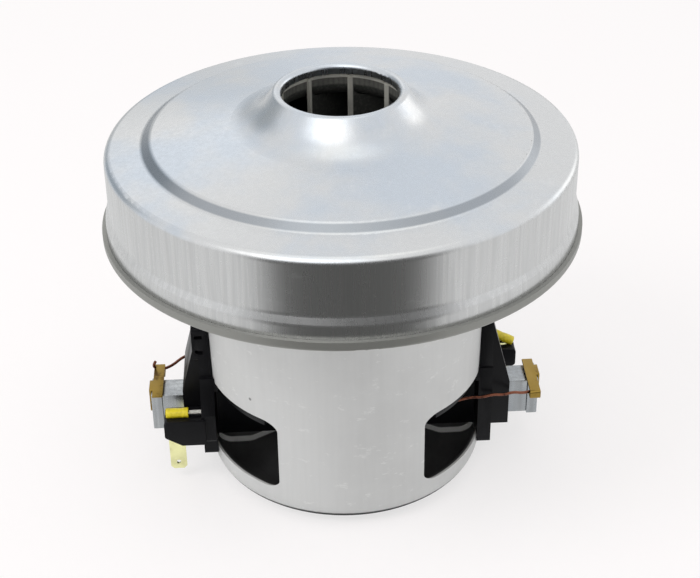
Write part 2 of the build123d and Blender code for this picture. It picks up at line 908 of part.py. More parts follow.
def make_brush_strap():
    """Brass strap over the cap, with a hook for the field lead and a tab down the cap's end."""
    low = brush_axis_height + box_half_height + cap_sheet + seat_gap
    x_from = cap_end - strap_inset - strap_width
    hook_centre = strap_hook_side - strap_hook_radius
    points = [
        (strap_rear_side, low),
        (-strap_hook_side, low),
        (-strap_hook_side, low - 2 * strap_hook_radius + strap_sheet),
        (-hook_centre + strap_hook_return, low - 2 * strap_hook_radius + strap_sheet),
    ]
    path = offset_left(points, -strap_sheet)
    face = sheet_face(path, [strap_hook_radius - strap_sheet / 2, strap_hook_radius - strap_sheet / 2], strap_sheet)
    strap = extrude(Plane.YZ.offset(x_from) * face, amount=strap_width)
    tab_from = cap_end + seat_gap
    strap += block(
        cap_end - 2 * strap_sheet, tab_from + strap_sheet, -strap_tab_half_width, strap_tab_half_width,
        low, low + strap_sheet,
    )
    strap += block(
        tab_from, tab_from + strap_sheet, -strap_tab_half_width, strap_tab_half_width,
        low - strap_tab_length, low + strap_sheet,
    )
    return strap


# Brush holder
def holder_plate():
    """Flat plate in the can's notch, swept out to the terminal housing on one side."""
    outline = [
        (-plate_half_width, plate_bottom),
        (plate_half_width, plate_bottom),
        (plate_half_width, housing_bottom),
        (sweep_side, housing_bottom),
        (sweep_side, housing_top + lead_rise),
        (sweep_waist, sweep_waist_height),
        (plate_top_half_width, plate_top),
        (-plate_top_half_width, plate_top),
        (-plate_half_width, plate_taper_height),
    ]
    face = make_face(Polyline(*outline, close=True))
    face = fillet(face.vertices(), plate_round)
    thickness = plate_outer_face - plate_inner_face
    return extrude(Plane.YZ.offset(plate_inner_face) * face, amount=thickness)


def holder_boss():
    """Boss round the box, tapering to the plate's top."""
    outline = [
        (plate_outer_face - plate_round, boss_bottom),
        (boss_outer_face, boss_bottom),
        (boss_outer_face, boss_shoulder),
        (plate_outer_face, plate_top - plate_round),
        (plate_outer_face - plate_round, plate_top - plate_round),
    ]
    face = Plane.XZ * make_face(Polyline(*outline, close=True))
    return extrude(face, amount=boss_half_width) + extrude(face, amount=-boss_slot_side)


def clip_block():
    """Block above the housing with its two latch slots."""
    body = block(
        clip_block_inner, clip_block_outer, clip_block_inner_side, clip_block_side,
        clip_block_bottom, clip_block_top,
    )
    body = fillet(body.edges().filter_by(Axis.X), plate_round)
    middle = (clip_block_bottom + clip_block_top) / 2
    centre = (clip_block_inner + clip_block_outer) / 2
    for height in (middle - clip_slot_pitch / 2, middle + clip_slot_pitch / 2):
        body -= block(
            centre - clip_slot_width / 2, centre + clip_slot_width / 2,
            clip_block_side - clip_slot_depth, clip_block_side + overrun,
            height - clip_slot_height / 2, height + clip_slot_height / 2,
        )
    return body


def terminal_housing():
    """Housing beside the plate, with a sloping toe, a slot for the spade and a channel for the lead."""
    toe_start = housing_outer_face - housing_toe_length
    outline = [
        (plate_outer_face - plate_round, housing_bottom),
        (toe_start, housing_bottom),
        (housing_outer_face, housing_bottom + housing_toe_drop),
        (housing_outer_face, housing_top),
        (plate_outer_face - plate_round, housing_top),
    ]
    face = Plane.XZ * make_face(Polyline(*outline, close=True))
    body = extrude(face, amount=-(housing_outer_side - housing_inner_side))
    body = Pos(0, housing_inner_side, 0) * body
    body = fillet(body.edges().filter_by(Axis.Y).group_by(Axis.X)[-1], plate_round)
    half = spade_width / 2 + loose_gap
    body -= block(
        spade_axis - half, spade_axis + half,
        spade_side - spade_thickness / 2 - loose_gap, spade_side + spade_thickness / 2 + loose_gap,
        housing_bottom - overrun, housing_top + overrun,
    )
    return body


def holder_wings():
    """Curved wings that bear on the inside of the can."""
    outer = can_inner_radius - loose_gap
    top = stack_bottom - insulator_thickness - loose_gap
    wings = sector(outer - wing_thickness, outer, wing_bottom, top, 0, wing_half_angle)
    return wings


def make_brush_holder():
    """Moulding that carries the box, the strap's side of the box and the terminal."""
    guide_bottom = brush_axis_height - box_half_height - guide_wall
    guide_top = brush_axis_height + box_half_height + guide_wall
    side = box_half_width + guide_wall
    holder = holder_plate() + holder_boss() + clip_block() + terminal_housing()
    holder += block(guide_inner_end, plate_outer_face, -side, side, guide_bottom, guide_top)
    web_inner = can_inner_radius - loose_gap - wing_thickness
    wing_top = stack_bottom - insulator_thickness - loose_gap
    holder += block(web_inner, plate_outer_face, -plate_half_width, plate_half_width, wing_bottom, wing_top)
    holder += holder_wings()
    wall = ring(can_inner_radius - loose_gap, can_radius + loose_gap, 0, flange_top)
    holder -= wall - side_windows(loose_gap)
    holder -= box_tube(seat_gap, guide_inner_end - overrun, boss_outer_face + overrun)
    channel_centre = (plate_outer_face + housing_outer_face) / 2
    channel = Pos(channel_centre, spade_side, lead_height) * Rot(0, 90, 0) * Cylinder(
        sleeve_radius + loose_gap, housing_outer_face - plate_inner_face + 2 * overrun
    )
    return holder - channel


# Terminals and leads
def make_spade_terminal():
    """Spade that points down out of the housing."""
    outline = [
        (spade_axis - spade_width / 2, lead_height - sleeve_radius - seat_gap),
        (spade_axis - spade_width / 2, spade_tip + spade_tip_chamfer),
        (spade_axis - spade_width / 2 + spade_tip_chamfer, spade_tip),
        (spade_axis + spade_width / 2 - spade_tip_chamfer, spade_tip),
        (spade_axis + spade_width / 2, spade_tip + spade_tip_chamfer),
        (spade_axis + spade_width / 2, lead_height - sleeve_radius - seat_gap),
    ]
    face = make_face(Polyline(*outline, close=True))
    face -= Pos(spade_axis, spade_tip + spade_hole_lift) * Circle(spade_hole_radius)
    blade = extrude(Plane.XZ * face, amount=spade_thickness / 2, both=True)
    return Pos(0, spade_side, 0) * blade


def make_lead_sleeve():
    """Insulating sleeve over the lead's joint with the spade."""
    length = sleeve_start - sleeve_end
    centre = (sleeve_start + sleeve_end) / 2
    return Pos(centre, spade_side, lead_height) * Rot(0, 90, 0) * Cylinder(sleeve_radius, length)


def make_lead_crimp():
    """Tinned end of the terminal lead, on its way into the can."""
    length = sleeve_end - crimp_end
    centre = (sleeve_end + crimp_end) / 2
    return Pos(centre, spade_side, lead_height) * Rot(0, 90, 0) * Cylinder(crimp_radius, length)


def make_field_lead():
    """Bare copper lead from the field coil through the window to the strap's hook."""
    low = stack_bottom - insulator_thickness - 2 * seat_gap - coil_end_height
    coil_x, coil_y = polar((coil_end_inner_radius + coil_end_outer_radius) / 2, lead_coil_angle)
    hook_centre = brush_axis_height + box_half_height + cap_sheet + seat_gap + strap_sheet - strap_hook_radius
    hook_side = -(strap_hook_side - strap_hook_radius)
    points = [
        (coil_x, coil_y, low),
        (coil_x, coil_y, low - lead_drop),
        (can_inner_radius - lead_turn_inset, -(plate_half_width + lead_wall_gap), lead_window_height),
        (plate_outer_face, -(plate_half_width + lead_plate_gap), lead_plate_height),
        (boss_outer_face + lead_boss_gap, -(boss_half_width + lead_plate_gap), lead_boss_height),
        (cap_end - strap_width, hook_side, hook_centre),
        (cap_end + lead_tail, hook_side, hook_centre),
    ]
    return tube_along(points, lead_bends, lead_radius)


# All pieces by name
def frame_pieces():
    """Pieces that stay still."""
    pieces = {
        "motor_can": make_motor_can(),
        "fan_cover": make_fan_cover(),
        "bearing_bracket": make_bearing_bracket(),
        "diffuser": make_diffuser(),
        "clamp_screws": make_clamp_screws(),
        "stator_core": make_stator_core(),
        "stator_insulators": make_stator_insulators(),
        "field_coil_front": make_field_coil(-90),
        "field_coil_rear": make_field_coil(90),
        "bearing_wave_washer": make_wave_washer(),
    }
    return pieces


def rotor_pieces():
    """Pieces that turn with the shaft, apart from the bearings' inner races."""
    washer_top = blade_bottom + washer_thickness
    bore = shaft_radius + seat_gap
    return {
        "shaft": make_shaft(),
        "armature_core": slotted_disc(armature_radius, stack_bottom, stack_top),
        "armature_insulators": group(
            [
                ring(bore, winding_inner_radius, stack_bottom - insulator_thickness, stack_bottom),
                ring(bore, winding_inner_radius, stack_top, stack_top + insulator_thickness),
            ]
        ),
        "armature_winding": make_armature_winding(),
        "commutator_bars": make_commutator_bars(),
        "commutator_hub": ring(bore, commutator_bore_radius - seat_gap, commutator_bottom, commutator_top),
        "impeller_back_plate": make_impeller_back_plate(),
        "impeller_shroud": make_impeller_shroud(),
        "impeller_blades": make_impeller_blades(),
        "impeller_spacer": ring(bore, spacer_radius, bracket_top, impeller_bottom - washer_thickness),
        "impeller_washers": group(
            [
                ring(bore, washer_radius, impeller_bottom - washer_thickness, impeller_bottom),
                ring(bore, washer_radius, blade_bottom, washer_top),
            ]
        ),
        "impeller_nut": make_impeller_nut(),
    }


def bearing_nodes():
    """Both bearings, piece by piece."""
    sizes = {
        "lower": (
            lower_bore_radius, lower_bearing_radius, lower_bearing_width, lower_pitch_radius,
            lower_ball_radius, lower_ball_count, lower_bearing_bottom,
        ),
        "upper": (
            upper_bore_radius, upper_bearing_radius, upper_bearing_width, upper_pitch_radius,
            upper_ball_radius, upper_ball_count, upper_bearing_bottom,
        ),
    }
    names = ("outer_race", "inner_race", "balls", "cage", "shields")
    pieces = {}
    for place, values in sizes.items():
        for name, shape in zip(names, bearing_pieces(*values)):
            pieces[f"{place}_bearing_{name}"] = shape
    return pieces


def brush_gear_pieces():
    """Brush gear of both sides, the left one turned half a turn."""
    right = {
        "brush_holder": make_brush_holder(),
        "brush_box": make_brush_box(),
        "brush_cap": make_brush_cap(),
        "carbon_brush": make_brush(),
        "brush_spring": make_brush_spring(),
        "brush_shunt": make_brush_shunt(),
        "brush_strap": make_brush_strap(),
        "spade_terminal": make_spade_terminal(),
        "lead_sleeve": make_lead_sleeve(),
        "lead_crimp": make_lead_crimp(),
        "field_lead": make_field_lead(),
    }
    pieces = {}
    for name, shape in right.items():
        pieces[f"{name}_right"] = shape
        pieces[f"{name}_left"] = Rot(0, 0, 180) * shape
    return pieces


os.makedirs("parts", exist_ok=True)
all_pieces = {**frame_pieces(), **rotor_pieces(), **bearing_nodes(), **brush_gear_pieces()}
for node, shape in all_pieces.items():
    export_step(shape, f"parts/{node}.step")
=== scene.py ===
import json
import math

import bmesh
import bpy
from mathutils import Matrix, Vector


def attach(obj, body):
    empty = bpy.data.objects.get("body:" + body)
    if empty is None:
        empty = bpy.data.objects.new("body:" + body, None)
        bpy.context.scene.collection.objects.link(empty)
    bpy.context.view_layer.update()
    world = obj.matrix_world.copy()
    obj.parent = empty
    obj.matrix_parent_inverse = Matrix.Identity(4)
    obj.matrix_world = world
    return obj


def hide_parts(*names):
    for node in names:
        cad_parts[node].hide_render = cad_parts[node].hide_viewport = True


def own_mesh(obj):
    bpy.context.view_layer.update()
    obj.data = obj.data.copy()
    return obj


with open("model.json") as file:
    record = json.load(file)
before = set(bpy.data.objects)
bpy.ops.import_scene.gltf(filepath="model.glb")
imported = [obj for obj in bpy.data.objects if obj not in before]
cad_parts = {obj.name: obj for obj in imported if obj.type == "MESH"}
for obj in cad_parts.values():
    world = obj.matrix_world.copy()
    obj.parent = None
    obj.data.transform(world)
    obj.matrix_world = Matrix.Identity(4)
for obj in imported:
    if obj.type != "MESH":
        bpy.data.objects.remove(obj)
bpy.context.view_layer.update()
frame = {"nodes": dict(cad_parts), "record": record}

bl_info = {
    "name": "Vacuum motor unit",
    "version": (1, 0, 0),
    "blender": (4, 5, 0),
    "location": "View3D > Sidebar > Vacuum motor",
    "description": "Finishes, leads, sleeves and springs of a vacuum cleaner motor and fan",
    "category": "Object",
}

MM = 0.001
FINISH_PREFIX = "motor_"
TURN = 2 * math.pi
QUARTER_TURN = math.pi / 2
HALF_TURN = Matrix.Rotation(math.pi, 4, "Z")

# Angles between faces: smooth-shaded up to the first, rounded from the second, merged below the third
SMOOTH_ANGLE = math.radians(40)
SHARP_ANGLE = math.radians(35)
FLAT_ANGLE = math.radians(1)

# Places and sizes on the right-hand brush gear, in millimetres; the left-hand one is turned half a turn
BRUSH_AXIS_HEIGHT = 16.0
SPRING_START = 40.15
SPRING_END = 57.65
SHUNT_START = 36.2
SHUNT_STRAIGHT_END = 43.15
SHUNT_BENDS = 8
SHUNT_SWAY = 0.45
SLEEVE_SIDE = 15.6
SLEEVE_HEIGHT = 23.6
SLEEVE_START = 46.8
SLEEVE_END = 53.4
LEAD_END_START = 40.6
RIGHT_LEAN = math.radians(28)

# Shares of their length at which sleeve and lead end are cut across, and the cut that is drawn in
SLEEVE_CUTS = (0.2, 0.4, 0.6, 0.8)
SLEEVE_WAIST = 0.4
SLEEVE_WAIST_SIZE = 0.93
LEAD_END_CUTS = (0.3, 0.42)
LEAD_END_NECK = 0.42
LEAD_END_NECK_SIZE = 0.78

# Where the cover's top begins, and the slope of its step, which is painted darker as shade
COVER_TOP = 0.1025
STEP_TOP = 0.0524
STEP_FOOT = 0.0549

# The collar's bare edge, and the blades' bare leading edges
COLLAR_EDGE = 0.1139
BLADE_EDGE = 0.0170
BLADE_FOOT = 0.0925

# Where the can's inside and its rolled rim begin, the half width of the painted lit strip across its floor
# between the brushes, amid the painted shade inside, and the pits in its sheet
CAN_SKIN = 0.0404
RIM_START = 0.0655
PAINTED_LIGHT_STRIP = 0.0010
PAINTED_LIGHT_STRIP_EDGE = 0.0016
PIT_RADIUS = 0.0005
CAN_PITS = ((-28.1, -29.8, 37.8), (9.3, 39.9, 52.0), (-12.4, 39.1, 24.0))

# Outer brush gear whose edges are rounded: node, new name, finish and width of the rounding
ROUNDED_PIECES = (
    ("brush_holder", "moulded_holder", "holder_plastic", 0.0006),
    ("brush_box", "steel_box", "box_steel", 0.0002),
    ("brush_cap", "steel_cap", "box_steel", 0.0002),
    ("brush_strap", "brass_strap", "strap_brass", 0.00012),
)

# The two slots in the right-hand holder's clip block, as lowest and highest corners in millimetres
CLIP_SLOTS = (
    ((41.6, 9.8, 41.25), (43.85, 13.0, 42.45)),
    ((41.6, 9.8, 46.25), (43.85, 13.0, 47.45)),
)

# Finish of the brush boxes, and the pitch of the rings that the sleeves show
BOX_COLOUR = (0.50, 0.52, 0.53)
BOX_TINT = (0.34, 0.36, 0.38)
BOX_ROUGHNESS = 0.28
SLEEVE_RING_PITCH = 0.0011

# Route of the right-hand field lead, from the coil to just past the strap's hook
FIELD_LEAD_ROUTE = (
    (22.3, -19.4, 27.4),
    (22.6, -19.5, 25.0),
    (29.0, -18.4, 24.9),
    (35.6, -16.9, 25.8),
    (39.5, -16.2, 25.0),
    (43.0, -15.3, 25.3),
    (46.4, -14.2, 24.1),
    (49.6, -12.7, 23.9),
    (52.6, -11.1, 22.2),
    (55.3, -9.8, 21.8),
)
LEAD_TAILS = {
    "right": ((56.9, -9.8, 21.6), (58.3, -9.8, 21.9)),
    "left": ((57.2, -9.8, 21.9), (58.6, -9.4, 23.4), (57.6, -9.0, 25.2)),
}

# Lamps: name, the setting of its power, side of its square and place
LAMPS = (
    ("key_lamp", "key_power", 0.45, (-0.66, -0.30, 0.92)),
    ("top_lamp", "top_power", 0.70, (0.05, -0.20, 1.05)),
    ("fill_lamp_right", "fill_power", 0.30, (0.80, 0.05, 0.30)),
    ("fill_lamp_left", "fill_power", 0.30, (-0.80, -0.05, 0.30)),
)
LAMP_AIM = Vector((0, 0, 0.07))

# What metal shows of the floor and the room: bright all round, dark in front and brightest overhead
FLOOR_BRIGHT = (0.84, 0.84, 0.84)
FLOOR_DARK = (0.115, 0.115, 0.112)
ROOM_BRIGHT = (0.965, 0.97, 0.98)
ROOM_DARK = (0.13, 0.13, 0.13)
ROOM_GREY = (0.30, 0.34, 0.37)
ROOM_OVERHEAD = (1.30, 1.30, 1.28)

# Grey corners of the room that metal shows: where the grey begins and is full to the left and to the
# back, where it fades upwards, and its share
GREY_CORNERS = (
    ((0.36, 0.60), (0.20, 0.50), (0.44, 0.66), 0.8),
    ((-0.06, 0.18), (0.60, 0.85), (0.22, 0.40), 0.6),
)

# Bright spots of the room that metal shows: direction, cosine at the spot's edge, strength
BRIGHT_SPOTS = (
    ((-0.30, -0.64, 0.70), 0.82, 2.0),
    ((0.85, 0.50, 0.16), 0.92, 1.6),
    ((-0.12, 0.87, 0.47), 0.98, 1.25),
)
BRIGHT_SPOT_CORE = 0.99


# Sizes and colours that a user would change
class StudioSettings(bpy.types.PropertyGroup):
    """Camera, floor and lamps."""

    camera_place: bpy.props.FloatVectorProperty(
        name="Camera place", description="Where the camera stands", subtype="TRANSLATION",
        default=(-0.0167, -0.378, 0.291))
    camera_sight: bpy.props.FloatVectorProperty(
        name="Camera sight", description="Direction that the camera looks in", subtype="DIRECTION",
        default=(0.0417, 0.8468, -0.5302))
    camera_up: bpy.props.FloatVectorProperty(
        name="Camera up", description="Direction of the picture's upper edge", subtype="DIRECTION",
        default=(0.03933, 0.52888, 0.84778))
    camera_lens: bpy.props.FloatProperty(
        name="Lens", description="Focal length of the camera in millimetres", default=78.4, min=10.0)
    floor_size: bpy.props.FloatProperty(
        name="Floor size", description="Side of the square floor", subtype="DISTANCE", default=6.0, min=1.0)
    floor_colour: bpy.props.FloatVectorProperty(
        name="Floor colour", description="Colour of the floor in its shadows", subtype="COLOR",
        default=(1.0, 0.93, 0.93), min=0.0, max=1.0)
    floor_white: bpy.props.FloatProperty(
        name="Floor white", description="Share of plain white in the floor that the camera sees",
        default=0.64, min=0.0, max=1.0)
    sky_strength: bpy.props.FloatProperty(
        name="Room light", description="Strength of the even light round the object", default=0.74, min=0.0)
    key_power: bpy.props.FloatProperty(
        name="Key lamp", description="Power of the lamp at the upper left", subtype="POWER", default=3.0)
    top_power: bpy.props.FloatProperty(
        name="Top lamp", description="Power of the lamp overhead", subtype="POWER", default=1.2)
    fill_power: bpy.props.FloatProperty(
        name="Fill lamps", description="Power of the low lamp at each side", subtype="POWER", default=0.3)


class SheetSettings(bpy.types.PropertyGroup):
    """Colours of the drawn sheet-metal pieces."""

    cover_colour: bpy.props.FloatVectorProperty(
        name="Cover colour", description="Zinc of the fan cover", subtype="COLOR",
        default=(0.68, 0.685, 0.685), min=0.0, max=1.0)
    cover_tint: bpy.props.FloatVectorProperty(
        name="Cover tint", description="Bluish patches of the fan cover", subtype="COLOR",
        default=(0.59, 0.64, 0.70), min=0.0, max=1.0)
    can_colour: bpy.props.FloatVectorProperty(
        name="Can colour", description="Dull zinc of the motor can", subtype="COLOR",
        default=(0.66, 0.66, 0.655), min=0.0, max=1.0)
    can_tint: bpy.props.FloatVectorProperty(
        name="Can tint", description="Duller patches of the motor can", subtype="COLOR",
        default=(0.61, 0.61, 0.605), min=0.0, max=1.0)
    rim_colour: bpy.props.FloatVectorProperty(
        name="Rim colour", description="Olive grey of the can's rolled rim", subtype="COLOR",
        default=(0.22, 0.22, 0.20), min=0.0, max=1.0)
    dull_roughness: bpy.props.FloatProperty(
        name="Can roughness", description="Roughness of the motor can", subtype="FACTOR", default=0.50)
    satin_roughness: bpy.props.FloatProperty(
        name="Cover roughness", description="Roughness of the fan cover", subtype="FACTOR", default=0.28)


class BrushGearSettings(bpy.types.PropertyGroup):
    """Sizes and colours of the leads, sleeves and springs."""

    sleeve_radius: bpy.props.FloatProperty(
        name="Sleeve radius", description="Outer radius of the yellow sleeve", subtype="DISTANCE",
        default=0.0015)
    sleeve_wall: bpy.props.FloatProperty(
        name="Sleeve wall", description="Wall of the yellow sleeve", subtype="DISTANCE", default=0.0004)
    lead_end_radius: bpy.props.FloatProperty(
        name="Lead end radius", description="Radius of the tinned lead end", subtype="DISTANCE",
        default=0.0009)
    lead_end_flare: bpy.props.FloatProperty(
        name="Lead end flare", description="Radius of the lead end's wide end", subtype="DISTANCE",
        default=0.0011)
    field_lead_radius: bpy.props.FloatProperty(
        name="Field lead radius", description="Radius of the copper field lead", subtype="DISTANCE",
        default=0.00045)
    spring_radius: bpy.props.FloatProperty(
        name="Spring radius", description="Middle radius of the brush spring", subtype="DISTANCE",
        default=0.0022)
    spring_wire: bpy.props.FloatProperty(
        name="Spring wire", description="Radius of the spring's wire", subtype="DISTANCE", default=0.0004)
    spring_turns: bpy.props.IntProperty(
        name="Spring turns", description="Turns of the brush spring", default=7, min=3)
    shunt_radius: bpy.props.FloatProperty(
        name="Shunt radius", description="Radius of the braided shunt", subtype="DISTANCE", default=0.00055)
    sleeve_colour: bpy.props.FloatVectorProperty(
        name="Sleeve colour", description="Yellow of the sleeve", subtype="COLOR",
        default=(0.86, 0.70, 0.02), min=0.0, max=1.0)
    holder_colour: bpy.props.FloatVectorProperty(
        name="Holder colour", description="Black of the moulded brush holder", subtype="COLOR",
        default=(0.006, 0.006, 0.007), min=0.0, max=1.0)
    strap_colour: bpy.props.FloatVectorProperty(
        name="Strap colour", description="Brass of the straps", subtype="COLOR",
        default=(0.36, 0.24, 0.055), min=0.0, max=1.0)


# Shader expressions
class Value:
    """A number that varies over a surface, so that shader maths reads as Python."""

    def __init__(self, tree, socket):
        self.tree = tree
        self.socket = socket

    def math(self, operation, *others):
        """One Math node with this value first."""
        return self.tree.node("ShaderNodeMath", {"operation": operation}, self, *others)

    def wave(self):
        """Even wave from 0 to 1, for a value that is an angle."""
        return self.math("SINE") * 0.5 + 0.5

    def __add__(self, other):
        return self.math("ADD", other)

    def __sub__(self, other):
        return self.math("SUBTRACT", other)

    def __rsub__(self, other):
        return self.tree.node("ShaderNodeMath", {"operation": "SUBTRACT"}, other, self)

    def __mul__(self, other):
        return self.math("MULTIPLY", other)

    def __truediv__(self, other):
        return self.math("DIVIDE", other)

    def __pow__(self, other):
        return self.math("POWER", other)

    __radd__ = __add__
    __rmul__ = __mul__


class ShaderTree:
    """A node tree, filled one expression at a time."""

    def __init__(self, node_tree):
        self.nodes = node_tree.nodes
        self.links = node_tree.links

    def feed(self, socket, value):
        """Set a socket, or link it to a value."""
        if isinstance(value, Value):
            self.links.new(value.socket, socket)
        else:
            socket.default_value = value

    def node(self, kind, settings, *inputs, output=0, **named):
        """One node with its settings, its inputs in order or by name, and the output to read."""
        made = self.nodes.new(kind)
        for setting, value in settings.items():
            setattr(made, setting, value)
        for place, value in enumerate(inputs):
            self.feed(made.inputs[place], value)
        for name, value in named.items():
            self.feed(made.inputs[name.replace("_", " ")], value)
        return Value(self, made.outputs[output])

    def axes(self, vector):
        """The three parts of a vector."""
        made = self.nodes.new("ShaderNodeSeparateXYZ")
        self.feed(made.inputs[0], vector)
        return [Value(self, socket) for socket in made.outputs]

    def stretched(self, vector, scales):
        """Coordinates multiplied axis by axis."""
        return self.node("ShaderNodeVectorMath", {"operation": "MULTIPLY"}, vector, scales)

    def noise(self, vector, scale, detail=3.0, roughness=0.55):
        """Soft random pattern from 0 to 1."""
        return self.node(
            "ShaderNodeTexNoise", {}, Vector=vector, Scale=scale, Detail=detail, Roughness=roughness)

    def between(self, value, low, high):
        """0 at low and below, 1 at high and above."""
        return self.node("ShaderNodeMapRange", {"interpolation_type": "SMOOTHSTEP"}, value, low, high,
                         0.0, 1.0)

    def mixed(self, share, first, second):
        """Colour between two colours."""
        made = self.nodes.new("ShaderNodeMix")
        made.data_type = "RGBA"
        self.feed(made.inputs[0], share)
        self.feed(made.inputs[6], opaque(first))
        self.feed(made.inputs[7], opaque(second))
        return Value(self, made.outputs[2])


class Finish(ShaderTree):
    """One material, with its patterns on Object coordinates."""

    def __init__(self, name, **constants):
        self.material = bpy.data.materials.new(FINISH_PREFIX + name)
        self.material.use_nodes = True
        super().__init__(self.material.node_tree)
        self.shader = self.nodes["Principled BSDF"]
        self.place = self.node("ShaderNodeTexCoord", {}, output="Object")
        for name, value in constants.items():
            self.set(name.replace("_", " "), value)

    def set(self, socket, value):
        """Feed one socket of the shader."""
        self.feed(self.shader.inputs[socket], value)

    def colour(self, value):
        """Feed the base colour."""
        self.set("Base Color", opaque(value))

    def relief(self, height, depth):
        """Bump from a height pattern, depth in micrometres."""
        bump = self.node("ShaderNodeBump", {}, Height=height, Distance=depth * MM / 1000)
        self.set("Normal", bump)

    def round_axis(self):
        """Distance from the motor's axis, and height."""
        x, y, height = self.axes(self.place)
        return (x * x + y * y).math("SQRT"), height

    def draw_lines(self, squeeze, scale):
        """Fine upright lines, as drawing leaves them in sheet."""
        return self.noise(self.stretched(self.place, (1.0, 1.0, squeeze)), scale, 2.0)

    def scuffs(self, squeeze, scale):
        """Faint rubbed marks."""
        return self.noise(self.stretched(self.place, squeeze), scale, 6.0, 0.7)


def opaque(colour):
    """A colour with its alpha, and anything else as it is."""
    if isinstance(colour, Value):
        return colour
    return (colour[0], colour[1], colour[2], 1.0)


def darker(colour, share):
    """A colour times a number."""
    return tuple(part * share for part in colour)


# Finishes
def box_finish():
    """The brush boxes' plated sheet: soft patches, clear draw lines up the walls and faint scuffs."""
    finish = Finish("box_steel", Metallic=1.0)
    patches = finish.noise(finish.place, 34.0, 4.0)
    lines = finish.draw_lines(0.035, 900.0)
    grain = finish.noise(finish.place, 2600.0, 2.0)
    worn = finish.between(finish.scuffs((1.0, 0.6, 2.4), 150.0), 0.58, 0.72)
    base = finish.mixed(finish.between(patches, 0.42, 0.66), BOX_COLOUR, BOX_TINT)
    base = finish.mixed(finish.between(lines, 0.30, 0.70) * 0.7, base, darker(BOX_COLOUR, 0.62))
    base = finish.mixed(worn * 0.25, base, darker(BOX_COLOUR, 1.18))
    finish.colour(base)
    finish.set("Roughness", BOX_ROUGHNESS + lines * 0.16 + grain * 0.06 - 0.11 + worn * 0.05)
    finish.relief(lines * 0.6 + grain * 0.4, 20)
    return finish.material


def can_finish(settings):
    """The can's dull sheet: polished rolled rim outside; inside, painted shade with a painted lit strip
    across its floor.
    """
    finish = Finish("can_sheet")
    radius, height = finish.round_axis()
    rim = finish.between(radius, RIM_START, RIM_START + MM)
    inside = finish.between(radius, CAN_SKIN + MM / 5, CAN_SKIN - MM / 5) * finish.between(
        height, MM / 2, MM)
    patches = finish.noise(finish.place, 28.0, 5.0)
    lines = finish.draw_lines(0.05, 700.0)
    grain = finish.noise(finish.place, 2400.0, 2.0)
    scuffs = finish.scuffs((1.0, 1.0, 2.2), 190.0)
    base = finish.mixed(finish.between(patches, 0.40, 0.68), settings.can_colour, settings.can_tint)
    base = finish.mixed(finish.between(lines, 0.35, 0.75) * 0.06, base, darker(settings.can_tint, 0.7))
    base = finish.mixed(finish.between(scuffs, 0.58, 0.68) * 0.5, base, darker(settings.can_colour, 1.25))
    base = finish.mixed(pit_mask(finish) * 0.85, base, darker(settings.can_colour, 0.25))
    base = finish.mixed(rim * 0.85, base, settings.rim_colour)
    # The can's inside is painted near-black as shade, and a narrow strip across its floor is painted light
    shade_mottle = finish.noise(finish.place, 90.0, 5.0)
    aside = finish.axes(finish.place)[1].math("ABSOLUTE")
    painted_lit_strip = 1.0 - finish.between(aside, PAINTED_LIGHT_STRIP, PAINTED_LIGHT_STRIP_EDGE)
    painted_shade_and_light = finish.mixed(shade_mottle * 0.05 + painted_lit_strip * 0.95, (0.005, 0.005, 0.006), (0.90, 0.90, 0.88))
    base = finish.mixed(inside, base, painted_shade_and_light)
    finish.colour(base)
    finish.set("Metallic", 0.14 + rim * 0.4 - inside * 0.1)
    finish.set("Roughness", (
        settings.dull_roughness + lines * 0.10 + grain * 0.06 - rim * 0.20 + inside * 0.2))
    finish.relief(lines * 0.1 + grain * 0.5 + scuffs * 0.4, 20)
    return finish.material


def pit_mask(finish):
    """1 on the small dark pits that the can's front and back show."""
    mask = None
    for pit in CAN_PITS:
        away = finish.node(
            "ShaderNodeVectorMath", {"operation": "DISTANCE"}, finish.place,
            tuple(part * MM for part in pit), output=1)
        spot = finish.between(away, PIT_RADIUS * 1.3, PIT_RADIUS * 0.6)
        mask = spot if mask is None else mask.math("MAXIMUM", spot)
    return mask


def cover_finish(settings):
    """The fan cover's satin sheet: bluish cloud on its top, painted shade on the slope of its step, fine
    draw lines on its wall.
    """
    finish = Finish("cover_sheet", Metallic=1.0)
    radius, height = finish.round_axis()
    top = finish.between(height, COVER_TOP - MM, COVER_TOP)
    step = finish.between(radius, STEP_TOP, STEP_TOP + MM / 2) * finish.between(
        radius, STEP_FOOT, STEP_FOOT - MM / 2)
    patches = finish.noise(finish.place, 30.0, 4.0)
    lines = finish.draw_lines(0.035, 900.0)
    grain = finish.noise(finish.place, 2600.0, 2.0)
    worn = finish.between(finish.scuffs((1.0, 0.6, 2.4), 150.0), 0.58, 0.72)
    cloud = finish.between(patches, 0.40, 0.66) * top
    base = finish.mixed(cloud, settings.cover_colour, settings.cover_tint)
    streaks = finish.between(lines, 0.30, 0.70) * (0.25 - top * 0.17)
    base = finish.mixed(streaks, base, darker(settings.cover_colour, 0.62))
    base = finish.mixed(worn * 0.22, base, darker(settings.cover_colour, 1.2))
    # The slope of the step on the top is painted darker, as shade
    base = finish.mixed(step * top * 0.8, base, darker(settings.cover_tint, 0.5))
    finish.colour(base)
    finish.set("Roughness", settings.satin_roughness + lines * 0.14 - 0.07 + worn * 0.05)
    finish.relief(lines * 0.8 + grain * 0.2, 10)
    return finish.material


def plain_metal(name, colour, roughness, grain_scale, spots=0.0, spot_colour=None):
    """Metal with a fine grain and, where given, tarnish spots."""
    finish = Finish(name, Metallic=1.0)
    grain = finish.noise(finish.place, grain_scale, 3.0)
    cloud = finish.noise(finish.place, grain_scale * 0.12, 4.0)
    base = finish.mixed(finish.between(cloud, 0.35, 0.7), colour, darker(colour, 0.72))
    if spots:
        tarnish = finish.between(cloud * 0.5 + grain * 0.5, 0.52, 0.64)
        base = finish.mixed(tarnish * spots, base, spot_colour)
    finish.colour(base)
    finish.set("Roughness", roughness + grain * 0.2 - 0.1)
    finish.relief(grain, 12)
    return finish.material


